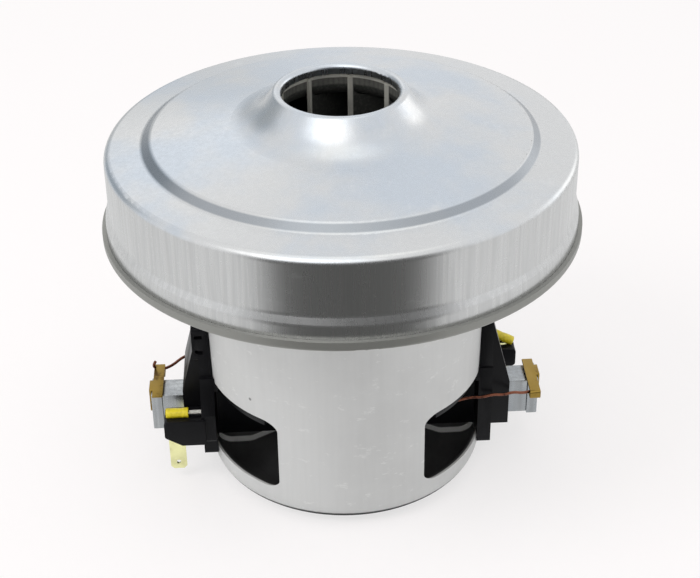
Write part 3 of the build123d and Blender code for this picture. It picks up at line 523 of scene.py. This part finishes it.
def impeller_finish():
    """Aluminium sheet: bare on the collar's rim and the blades' leading edges; elsewhere a near-black film
    that is partly dust and partly painted shade.
    """
    finish = Finish("impeller_aluminium")
    radius, height = finish.round_axis()
    collar = finish.between(height, COLLAR_EDGE, COLLAR_EDGE + MM / 3)
    edge = finish.between(radius, BLADE_EDGE + MM / 4, BLADE_EDGE) * finish.between(
        height, BLADE_FOOT, BLADE_FOOT + MM)
    # Away from the bare edges the sheet is painted near-black: partly dust, partly painted shade
    dust_and_shade = 1.0 - collar.math("MAXIMUM", edge * 0.8)
    cloud = finish.noise(finish.place, 160.0, 4.0)
    grain = finish.noise(finish.place, 1300.0, 3.0)
    bare = finish.mixed(finish.between(cloud, 0.4, 0.7), (0.80, 0.78, 0.70), (0.62, 0.61, 0.56))
    dust_and_shade_film = finish.mixed(finish.between(grain, 0.45, 0.7), (0.030, 0.031, 0.028), (0.060, 0.060, 0.054))
    finish.colour(finish.mixed(dust_and_shade, bare, dust_and_shade_film))
    finish.set("Metallic", 0.35 - dust_and_shade * 0.15)
    finish.set("Roughness", 0.38 + dust_and_shade * 0.25 + grain * 0.1)
    finish.relief(grain, 15)
    return finish.material


def moulded_plastic(name, colour, roughness, shine=0.5):
    """Moulded plastic with a faint flow pattern and fine grain."""
    finish = Finish(name, Specular_IOR_Level=shine)
    cloud = finish.noise(finish.place, 60.0, 4.0)
    grain = finish.noise(finish.place, 3200.0, 2.0)
    finish.colour(finish.mixed(finish.between(cloud, 0.4, 0.75), colour, darker(colour, 1.9)))
    finish.set("Roughness", roughness + cloud * 0.2 - 0.1)
    finish.relief(grain * 0.7 + cloud * 0.3, 20)
    return finish.material


def stacked_sheets(name, colour, pitch):
    """Laminated stack: fine lines square to the axis."""
    finish = Finish(name, Metallic=1.0)
    height = finish.axes(finish.place)[2]
    waves = (height * (TURN / pitch)).wave()
    cloud = finish.noise(finish.place, 140.0, 4.0)
    base = finish.mixed(waves * 0.5, colour, darker(colour, 0.45))
    finish.colour(finish.mixed(finish.between(cloud, 0.45, 0.7) * 0.5, base, darker(colour, 0.6)))
    finish.set("Roughness", 0.42 + cloud * 0.25)
    finish.relief(waves, 80)
    return finish.material


def wound_wire(name, colour, pitch):
    """Varnished wire turns, as lines that follow the bundles."""
    finish = Finish(name, Metallic=0.85)
    radius, height = finish.round_axis()
    wander = finish.noise(finish.place, 120.0, 2.0)
    waves = ((height + radius) * (TURN / pitch) + wander * 5.0).wave()
    finish.colour(finish.mixed(waves, darker(colour, 0.35), colour))
    finish.set("Roughness", 0.34 - waves * 0.08)
    finish.relief(waves, 160)
    return finish.material


def carbon_finish():
    """Pressed carbon with faint sparkle."""
    finish = Finish("carbon", Metallic=0.1)
    grain = finish.noise(finish.place, 2400.0, 3.0)
    finish.colour(finish.mixed(finish.between(grain, 0.5, 0.75), (0.03, 0.03, 0.032), (0.09, 0.09, 0.095)))
    finish.set("Roughness", 0.55 - grain * 0.2)
    finish.relief(grain, 20)
    return finish.material


def sleeve_finish(colour):
    """Glossy yellow sleeving with a faint ring pattern."""
    finish = Finish("yellow_sleeve", Coat_Weight=0.3)
    along = finish.axes(finish.place)[0]
    rings = (along * (TURN / SLEEVE_RING_PITCH)).wave()
    cloud = finish.noise(finish.place, 500.0, 3.0)
    finish.colour(finish.mixed(finish.between(cloud, 0.4, 0.7), colour, darker(colour, 0.72)))
    finish.set("Roughness", 0.30 + cloud * 0.2)
    finish.relief(rings * 0.5 + cloud * 0.5, 60)
    return finish.material


def stranded_metal(name, colour, pitch):
    """Twisted strands along X."""
    finish = Finish(name, Metallic=1.0)
    along, side, height = finish.axes(finish.place)
    waves = ((along + side * 2.0 + height * 2.0) * (TURN / pitch)).wave()
    cloud = finish.noise(finish.place, 700.0, 3.0)
    finish.colour(finish.mixed(waves * 0.4 + cloud * 0.2, colour, darker(colour, 0.45)))
    finish.set("Roughness", 0.34 + cloud * 0.2)
    finish.relief(waves, 80)
    return finish.material


def make_finishes(scene):
    """Every finish, by the record's material slot."""
    sheets = scene.motor_sheets
    gear = scene.motor_brush_gear
    return {
        "can_sheet": can_finish(sheets),
        "cover_sheet": cover_finish(sheets),
        "bracket_steel": plain_metal("bracket_steel", (0.55, 0.56, 0.56), 0.38, 900.0),
        "diffuser_plastic": moulded_plastic("diffuser_plastic", (0.030, 0.030, 0.033), 0.5),
        "screw_steel": plain_metal("screw_steel", (0.56, 0.56, 0.54), 0.32, 1500.0),
        "lamination": stacked_sheets("lamination", (0.22, 0.22, 0.23), 0.0005),
        "fibre": moulded_plastic("fibre", (0.52, 0.46, 0.33), 0.7),
        "enamelled_copper": wound_wire("enamelled_copper", (0.50, 0.20, 0.08), 0.0006),
        "spring_steel": plain_metal("spring_steel", (0.42, 0.42, 0.44), 0.28, 1800.0),
        "bearing_steel": plain_metal("bearing_steel", (0.62, 0.63, 0.65), 0.16, 2200.0),
        "shaft_steel": plain_metal("shaft_steel", (0.52, 0.52, 0.54), 0.26, 1600.0),
        "copper": plain_metal("copper", (0.24, 0.09, 0.055), 0.30, 1500.0, 0.9, (0.05, 0.018, 0.013)),
        "hub_resin": moulded_plastic("hub_resin", (0.10, 0.045, 0.025), 0.45),
        "impeller_aluminium": impeller_finish(),
        "holder_plastic": moulded_plastic("holder_plastic", gear.holder_colour, 0.36, 0.13),
        "box_steel": box_finish(),
        "strap_brass": plain_metal("strap_brass", gear.strap_colour, 0.36, 420.0, 0.9, (0.12, 0.065, 0.02)),
        "spade_brass": plain_metal("spade_brass", (1.0, 0.98, 0.53), 0.30, 900.0, 0.25, (0.66, 0.58, 0.24)),
        "yellow_sleeve": sleeve_finish(gear.sleeve_colour),
        "tinned_wire": stranded_metal("tinned_wire", (1.0, 0.98, 0.90), 0.0009),
        "braided_copper": stranded_metal("braided_copper", (0.60, 0.28, 0.16), 0.0006),
        "carbon": carbon_finish(),
    }


def finish_for(slot):
    """The finish that make_finishes made for a material slot."""
    return bpy.data.materials[FINISH_PREFIX + slot]


# Modelling helpers
def start(add, **settings):
    """Add a primitive with nothing else selected, and return it."""
    if bpy.context.object and bpy.context.object.mode != "OBJECT":
        bpy.ops.object.mode_set(mode="OBJECT")
    bpy.ops.object.select_all(action="DESELECT")
    add(**settings)
    return bpy.context.object


def take(piece):
    """Select one piece alone, and make it the active one."""
    bpy.ops.object.select_all(action="DESELECT")
    piece.select_set(True)
    bpy.context.view_layer.objects.active = piece


def change_all(piece, operator, **settings):
    """Run one mesh operator on the whole of a piece, in edit mode."""
    take(piece)
    bpy.ops.object.mode_set(mode="EDIT")
    bpy.ops.mesh.select_all(action="SELECT")
    operator(**settings)
    bpy.ops.object.mode_set(mode="OBJECT")


def settle(piece):
    """Put the piece's place into its mesh, so that its object sits at the origin."""
    take(piece)
    bpy.ops.object.transform_apply(location=True, rotation=True, scale=True)


def pick(piece, kind, test):
    """In edit mode, select the faces or edges that pass a test, and nothing else."""
    mesh = bmesh.from_edit_mesh(piece.data)
    for element in [*mesh.verts, *mesh.edges, *mesh.faces]:
        element.select_set(False)
    for element in getattr(mesh, kind):
        if test(element):
            element.select_set(True)
    mesh.select_flush_mode()
    bmesh.update_edit_mesh(piece.data)


def is_end_face(face, along):
    """True for a round piece's closing face at a place along X."""
    return len(face.verts) > 4 and abs(face.calc_center_median().x - along) < MM / 10


def dress(piece, name, material, body, slot, *nodes):
    """Name a piece, give it its finish and its body, and hide the modelled pieces it stands for."""
    piece.name = name
    piece.data.name = name
    piece.data.materials.clear()
    piece.data.materials.append(material)
    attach(piece, body)
    if nodes:
        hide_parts(*nodes)


def twin(piece):
    """Copy of a right-hand piece with its own mesh, turned half a turn to the left."""
    copy = piece.copy()
    copy.data = piece.data.copy()
    copy.data.transform(HALF_TURN)
    bpy.context.scene.collection.objects.link(copy)
    return copy


def lean(piece):
    """Tip a right-hand lead piece up towards the can, about the sleeve's foot on the housing."""
    foot = Vector((SLEEVE_END - 1.0, SLEEVE_SIDE, SLEEVE_HEIGHT)) * MM
    turn = Matrix.Rotation(RIGHT_LEAN, 4, "Y")
    piece.data.transform(Matrix.Translation(foot) @ turn @ Matrix.Translation(-foot))


def round_shading(piece):
    """Smooth shading with sharp edges kept."""
    take(piece)
    bpy.ops.object.shade_smooth_by_angle(angle=SMOOTH_ANGLE)


def tube_on(route, radius):
    """Round wire on a smooth line through given points, in millimetres, closed at both ends."""
    curve = bpy.data.curves.new("wire", "CURVE")
    curve.dimensions = "3D"
    curve.resolution_u = 10
    curve.bevel_depth = radius
    curve.bevel_resolution = 4
    curve.use_fill_caps = True
    spline = curve.splines.new("NURBS")
    spline.points.add(len(route) - 1)
    for point, (x, y, z) in zip(spline.points, route):
        point.co = (x * MM, y * MM, z * MM, 1.0)
    spline.order_u = 3
    spline.use_endpoint_u = True
    wire = bpy.data.objects.new("wire", curve)
    bpy.context.scene.collection.objects.link(wire)
    take(wire)
    bpy.ops.object.convert(target="MESH")
    return bpy.context.object


def rounded_copy(node, width, slots):
    """Copy of a modelled piece with slots cut in it and its sharp edges rounded."""
    mesh = frame["nodes"][node].data.copy()
    piece = bpy.data.objects.new(node, mesh)
    bpy.context.scene.collection.objects.link(piece)
    change_all(piece, bpy.ops.mesh.remove_doubles, threshold=MM / 1000)
    for low, high in slots:
        centre = (Vector(low) + Vector(high)) / 2 * MM
        cutter = start(bpy.ops.mesh.primitive_cube_add, size=1.0, location=centre)
        cutter.scale = (Vector(high) - Vector(low)) * MM
        settle(cutter)
        cut = piece.modifiers.new("slot", "BOOLEAN")
        cut.operation = "DIFFERENCE"
        cut.solver = "EXACT"
        cut.object = cutter
        bpy.context.view_layer.objects.active = piece
        bpy.ops.object.modifier_apply(modifier="slot")
        bpy.data.objects.remove(cutter)
    change_all(piece, bpy.ops.mesh.dissolve_limited, angle_limit=FLAT_ANGLE)
    edge = piece.modifiers.new("edge", "BEVEL")
    edge.width = width
    edge.segments = 3
    edge.limit_method = "ANGLE"
    edge.angle_limit = SHARP_ANGLE
    edge.use_clamp_overlap = True
    bpy.ops.object.modifier_apply(modifier="edge")
    round_shading(piece)
    return piece


# Operators: finishes, leads, springs, stage
class MOTOR_OT_finish_pieces(bpy.types.Operator):
    """Give every modelled piece its finish"""

    bl_idname = "motor.finish_pieces"
    bl_label = "Finish the modelled pieces"

    def execute(self, context):
        finishes = make_finishes(context.scene)
        slots = {part["node"]: part["material_slot"] for part in frame["record"]["subparts"]}
        for name, node in frame["nodes"].items():
            node.data.materials.clear()
            node.data.materials.append(finishes[slots[name]])
        return {"FINISHED"}


class MOTOR_OT_make_brush_gear(bpy.types.Operator):
    """Round the edges of the holders, boxes, caps and straps, and cut the holders' clip slots"""

    bl_idname = "motor.make_brush_gear"
    bl_label = "Make the brush gear's outer pieces"

    def execute(self, context):
        for name, new_name, slot, width in ROUNDED_PIECES:
            piece = rounded_copy(f"{name}_right", width, CLIP_SLOTS if name == "brush_holder" else ())
            finish = finish_for(slot)
            dress(piece, f"{new_name}_right", finish, "frame", slot, f"{name}_right")
            dress(twin(piece), f"{new_name}_left", finish, "frame", slot, f"{name}_left")
        return {"FINISHED"}


class MOTOR_OT_make_sleeves(bpy.types.Operator):
    """Model the yellow sleeves over the terminal leads"""

    bl_idname = "motor.make_sleeves"
    bl_label = "Make the yellow sleeves"

    def execute(self, context):
        gear = context.scene.motor_brush_gear
        length = (SLEEVE_END - SLEEVE_START) * MM
        centre = Vector(((SLEEVE_START + SLEEVE_END) / 2, SLEEVE_SIDE, SLEEVE_HEIGHT)) * MM
        sleeve = start(
            bpy.ops.mesh.primitive_cylinder_add, vertices=40, radius=gear.sleeve_radius, depth=length,
            rotation=(0, QUARTER_TURN, 0), location=centre)
        settle(sleeve)
        bpy.ops.object.mode_set(mode="EDIT")
        for share in SLEEVE_CUTS:
            bpy.ops.mesh.select_all(action="SELECT")
            cut = centre.x + (share - 0.5) * length
            bpy.ops.mesh.bisect(plane_co=(cut, 0, 0), plane_no=(1, 0, 0))
        waist = centre.x + (SLEEVE_WAIST - 0.5) * length
        pick(sleeve, "verts", lambda vert: abs(vert.co.x - waist) < 0.02 * length)
        bpy.ops.transform.resize(
            value=(1, SLEEVE_WAIST_SIZE, SLEEVE_WAIST_SIZE), center_override=centre)
        for side in (-1, 1):
            end = centre.x + side * length / 2
            pick(sleeve, "faces", lambda face: is_end_face(face, end))
            bpy.ops.mesh.inset(thickness=gear.sleeve_wall)
            bpy.ops.mesh.extrude_region_move(TRANSFORM_OT_translate={"value": (-side * length / 4, 0, 0)})
        outer = gear.sleeve_radius * 0.9
        pick(sleeve, "edges", lambda edge: all(
            abs(abs(v.co.x - centre.x) - length / 2) < MM / 10
            and math.hypot(v.co.y - centre.y, v.co.z - centre.z) > outer for v in edge.verts))
        bpy.ops.mesh.bevel(offset=gear.sleeve_wall * 0.45, segments=3)
        bpy.ops.object.mode_set(mode="OBJECT")
        round_shading(sleeve)
        finish = finish_for("yellow_sleeve")
        dress(twin(sleeve), "yellow_sleeve_left", finish, "frame", "yellow_sleeve", "lead_sleeve_left")
        lean(sleeve)
        dress(sleeve, "yellow_sleeve_right", finish, "frame", "yellow_sleeve", "lead_sleeve_right")
        return {"FINISHED"}


class MOTOR_OT_make_lead_ends(bpy.types.Operator):
    """Model the tinned lead ends that come out of the sleeves"""

    bl_idname = "motor.make_lead_ends"
    bl_label = "Make the tinned lead ends"

    def execute(self, context):
        gear = context.scene.motor_brush_gear
        length = (SLEEVE_START - LEAD_END_START) * MM
        centre = Vector(((SLEEVE_START + LEAD_END_START) / 2, SLEEVE_SIDE, SLEEVE_HEIGHT)) * MM
        end = start(
            bpy.ops.mesh.primitive_cone_add, vertices=32, radius1=gear.lead_end_flare,
            radius2=gear.lead_end_radius * 0.75, depth=length, rotation=(0, QUARTER_TURN, 0),
            location=centre)
        settle(end)
        bpy.ops.object.mode_set(mode="EDIT")
        for share in LEAD_END_CUTS:
            bpy.ops.mesh.select_all(action="SELECT")
            bpy.ops.mesh.bisect(plane_co=(centre.x + (share - 0.5) * length, 0, 0), plane_no=(1, 0, 0))
        neck = centre.x + (LEAD_END_NECK - 0.5) * length
        pick(end, "verts", lambda vert: abs(vert.co.x - neck) < 0.02 * length)
        bpy.ops.transform.resize(
            value=(1, LEAD_END_NECK_SIZE, LEAD_END_NECK_SIZE), center_override=centre)
        wide = centre.x - length / 2
        pick(end, "faces", lambda face: is_end_face(face, wide))
        bpy.ops.mesh.inset(thickness=gear.lead_end_flare * 0.25)
        bpy.ops.mesh.extrude_region_move(TRANSFORM_OT_translate={"value": (length * 0.15, 0, 0)})
        bpy.ops.object.mode_set(mode="OBJECT")
        round_shading(end)
        finish = finish_for("tinned_wire")
        dress(twin(end), "tinned_end_left", finish, "frame", "tinned_wire", "lead_crimp_left")
        lean(end)
        dress(end, "tinned_end_right", finish, "frame", "tinned_wire", "lead_crimp_right")
        return {"FINISHED"}


class MOTOR_OT_make_field_leads(bpy.types.Operator):
    """Model the bare copper leads from the field coils to the straps"""

    bl_idname = "motor.make_field_leads"
    bl_label = "Make the field leads"

    def execute(self, context):
        gear = context.scene.motor_brush_gear
        finish = finish_for("copper")
        for side, tail in LEAD_TAILS.items():
            lead = tube_on(FIELD_LEAD_ROUTE + tail, gear.field_lead_radius)
            round_shading(lead)
            if side == "left":
                lead.data.transform(HALF_TURN)
            dress(lead, f"copper_lead_{side}", finish, "frame", "copper", f"field_lead_{side}")
        return {"FINISHED"}


class MOTOR_OT_make_springs(bpy.types.Operator):
    """Model the brush springs and the braided shunts inside them"""

    bl_idname = "motor.make_springs"
    bl_label = "Make the brush springs and shunts"

    def execute(self, context):
        gear = context.scene.motor_brush_gear
        wire = start(
            bpy.ops.mesh.primitive_circle_add, vertices=10, radius=gear.spring_wire,
            location=(0, gear.spring_radius, 0))
        settle(wire)
        room = (SPRING_END - SPRING_START) * MM - 2 * gear.spring_wire
        coil = wire.modifiers.new("coil", "SCREW")
        coil.axis = "X"
        coil.screw_offset = room / gear.spring_turns
        coil.iterations = gear.spring_turns
        coil.steps = coil.render_steps = 20
        coil.use_merge_vertices = True
        coil.merge_threshold = gear.spring_wire / 100
        bpy.ops.object.modifier_apply(modifier="coil")
        wire.location = (SPRING_START * MM + gear.spring_wire, 0, BRUSH_AXIS_HEIGHT * MM)
        settle(wire)
        change_all(wire, bpy.ops.mesh.fill_holes, sides=0)
        change_all(wire, bpy.ops.mesh.normals_make_consistent, inside=False)
        round_shading(wire)
        steel = finish_for("spring_steel")
        dress(wire, "coil_spring_right", steel, "frame", "spring_steel", "brush_spring_right")
        other = twin(wire)
        dress(other, "coil_spring_left", steel, "frame", "spring_steel", "brush_spring_left")
        self.squash_both(wire, other, SPRING_START)

        route = []
        for step in range(SHUNT_BENDS + 1):
            along = SHUNT_START + (SPRING_END - SHUNT_START) * step / SHUNT_BENDS
            sways = step < SHUNT_BENDS and along > SHUNT_STRAIGHT_END
            route.append((along, SHUNT_SWAY * (-1) ** step if sways else 0.0, BRUSH_AXIS_HEIGHT))
        shunt = tube_on(route, gear.shunt_radius)
        round_shading(shunt)
        braid = finish_for("braided_copper")
        dress(shunt, "braided_shunt_right", braid, "frame", "copper", "brush_shunt_right")
        other = twin(shunt)
        dress(other, "braided_shunt_left", braid, "frame", "copper", "brush_shunt_left")
        self.squash_both(shunt, other, SHUNT_START)
        return {"FINISHED"}

    def squash_both(self, right, left, first):
        """Give both pieces their own copies of their meshes."""
        for piece, side, sign in ((right, "right", 1), (left, "left", -1)):
            anchor = (sign * SPRING_END * MM, 0, BRUSH_AXIS_HEIGHT * MM)
            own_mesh(piece)


class MOTOR_OT_make_stage(bpy.types.Operator):
    """Make the floor, the lamps, the room light and the camera"""

    bl_idname = "motor.make_stage"
    bl_label = "Make the stage"

    def execute(self, context):
        studio = context.scene.motor_studio
        floor = start(bpy.ops.mesh.primitive_plane_add, size=studio.floor_size)
        floor.name = "floor"
        bpy.ops.object.mode_set(mode="EDIT")
        bpy.ops.mesh.subdivide(number_cuts=3)
        bpy.ops.object.mode_set(mode="OBJECT")
        floor.data.materials.append(floor_finish(studio))
        for name, power, size, place in LAMPS:
            make_lamp(name, getattr(studio, power), size, place)
        make_room_light(studio)
        make_camera(studio)
        context.scene.view_settings.view_transform = "Standard"
        return {"FINISHED"}


def floor_finish(studio):
    """Pale floor: white to the camera, and to metal a bright table with a dark front."""
    material = bpy.data.materials.new("floor")
    material.use_nodes = True
    tree = ShaderTree(material.node_tree)
    output = tree.nodes["Material Output"]
    tree.nodes.remove(tree.nodes["Principled BSDF"])
    rays = tree.nodes.new("ShaderNodeLightPath")
    camera_ray = Value(tree, rays.outputs["Is Camera Ray"])
    glossy_ray = Value(tree, rays.outputs["Is Glossy Ray"])
    x, y = tree.axes(tree.node("ShaderNodeTexCoord", {}, output="Object"))[:2]
    ahead = y * -1.0 - x.math("ABSOLUTE") * 1.1
    dark_share = tree.between(ahead, 0.0, 0.09)
    seen = tree.mixed(dark_share, FLOOR_BRIGHT, FLOOR_DARK)
    shade = tree.mixed(camera_ray, (0.93, 0.93, 0.93), studio.floor_colour)
    cloth = tree.node("ShaderNodeBsdfDiffuse", {}, Color=shade)
    white = tree.node("ShaderNodeEmission", {}, Color=(1.0, 1.0, 1.0, 1.0), Strength=1.0)
    mirror = tree.node("ShaderNodeEmission", {}, Color=seen, Strength=1.0)
    shown = tree.node("ShaderNodeMixShader", {}, camera_ray * studio.floor_white, cloth, white)
    shown = tree.node("ShaderNodeMixShader", {}, glossy_ray, shown, mirror)
    tree.links.new(shown.socket, output.inputs["Surface"])
    return material


def make_lamp(name, power, size, place):
    """Square soft lamp that faces the object; metal shows the room light's own bright spots instead."""
    lamp = bpy.data.lights.new(name, "AREA")
    lamp.energy = power
    lamp.shape = "SQUARE"
    lamp.size = size
    holder = bpy.data.objects.new(name, lamp)
    aim = LAMP_AIM - Vector(place)
    holder.location = place
    holder.rotation_euler = aim.to_track_quat("-Z", "Y").to_euler()
    holder.visible_glossy = False
    bpy.context.scene.collection.objects.link(holder)


def make_room_light(studio):
    """Even light all round; white to the camera, and to metal a bright room with a dark front."""
    world = bpy.data.worlds.new("room")
    world.use_nodes = True
    bpy.context.scene.world = world
    tree = ShaderTree(world.node_tree)
    tree.nodes.remove(tree.nodes["Background"])
    rays = tree.nodes.new("ShaderNodeLightPath")
    camera_ray = Value(tree, rays.outputs["Is Camera Ray"])
    glossy_ray = Value(tree, rays.outputs["Is Glossy Ray"])
    toward = tree.node("ShaderNodeTexCoord", {}, output="Generated")
    x, y, z = tree.axes(toward)
    ahead = y * -1.0 - x.math("ABSOLUTE") * 0.55
    front = tree.between(ahead, 0.10, 0.62) * (1.0 - tree.between(z, 0.30, 0.62))
    seen = tree.mixed(front, ROOM_BRIGHT, ROOM_DARK)
    corners = [
        tree.between(x * -1.0, *left) * tree.between(y, *back) * (1.0 - tree.between(z, *top)) * share
        for left, back, top, share in GREY_CORNERS]
    seen = tree.mixed(corners[0].math("MAXIMUM", corners[1]), seen, ROOM_GREY)
    seen = tree.mixed(tree.between(z, 0.90, 0.98), seen, ROOM_OVERHEAD)
    for direction, edge, strength in BRIGHT_SPOTS:
        across = tree.node(
            "ShaderNodeVectorMath", {"operation": "DOT_PRODUCT"}, toward, direction, output=1)
        spot = tree.between(across, edge, BRIGHT_SPOT_CORE)
        seen = tree.mixed(spot, seen, (strength, strength, strength))
    even = tree.node(
        "ShaderNodeBackground", {}, Color=(1.0, 1.0, 1.0, 1.0), Strength=studio.sky_strength)
    mirror = tree.node("ShaderNodeBackground", {}, Color=seen, Strength=1.0)
    white = tree.node("ShaderNodeBackground", {}, Color=(1.0, 1.0, 1.0, 1.0), Strength=1.0)
    shown = tree.node("ShaderNodeMixShader", {}, glossy_ray, even, mirror)
    shown = tree.node("ShaderNodeMixShader", {}, camera_ray, shown, white)
    tree.links.new(shown.socket, tree.nodes["World Output"].inputs["Surface"])


def make_camera(studio):
    """Camera at the photograph's viewing angle."""
    sight = Vector(studio.camera_sight).normalized()
    right = sight.cross(Vector(studio.camera_up)).normalized()
    up = right.cross(sight)
    turn = Matrix((right, up, -sight)).transposed().to_4x4()
    camera = bpy.data.cameras.new("camera")
    camera.lens = studio.camera_lens
    camera.sensor_width = 36.0
    camera.clip_start = 0.01
    holder = bpy.data.objects.new("camera", camera)
    holder.matrix_world = Matrix.Translation(Vector(studio.camera_place)) @ turn
    bpy.context.scene.collection.objects.link(holder)
    bpy.context.scene.camera = holder


class MOTOR_PT_panel(bpy.types.Panel):
    """Buttons for each group of pieces"""

    bl_idname = "MOTOR_PT_panel"
    bl_label = "Vacuum motor"
    bl_space_type = "VIEW_3D"
    bl_region_type = "UI"
    bl_category = "Vacuum motor"

    def draw(self, context):
        layout = self.layout
        for operator in OPERATORS:
            layout.operator(operator.bl_idname)
        scene = context.scene
        for settings in (scene.motor_sheets, scene.motor_brush_gear, scene.motor_studio):
            box = layout.box()
            for name in settings.__annotations__:
                box.prop(settings, name)


OPERATORS = (
    MOTOR_OT_finish_pieces,
    MOTOR_OT_make_brush_gear,
    MOTOR_OT_make_sleeves,
    MOTOR_OT_make_lead_ends,
    MOTOR_OT_make_field_leads,
    MOTOR_OT_make_springs,
    MOTOR_OT_make_stage,
)
SETTINGS = (StudioSettings, SheetSettings, BrushGearSettings)


def register():
    """Add the settings, the operators and the panel."""
    for item in (*SETTINGS, *OPERATORS, MOTOR_PT_panel):
        bpy.utils.register_class(item)
    bpy.types.Scene.motor_studio = bpy.props.PointerProperty(type=StudioSettings)
    bpy.types.Scene.motor_sheets = bpy.props.PointerProperty(type=SheetSettings)
    bpy.types.Scene.motor_brush_gear = bpy.props.PointerProperty(type=BrushGearSettings)


def unregister():
    """Take them away again."""
    del bpy.types.Scene.motor_brush_gear
    del bpy.types.Scene.motor_sheets
    del bpy.types.Scene.motor_studio
    for item in reversed((*SETTINGS, *OPERATORS, MOTOR_PT_panel)):
        bpy.utils.unregister_class(item)


def main():
    """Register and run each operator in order."""
    register()
    bpy.ops.motor.finish_pieces()
    bpy.ops.motor.make_brush_gear()
    bpy.ops.motor.make_sleeves()
    bpy.ops.motor.make_lead_ends()
    bpy.ops.motor.make_field_leads()
    bpy.ops.motor.make_springs()
    bpy.ops.motor.make_stage()


if __name__ == "__main__":
    main()
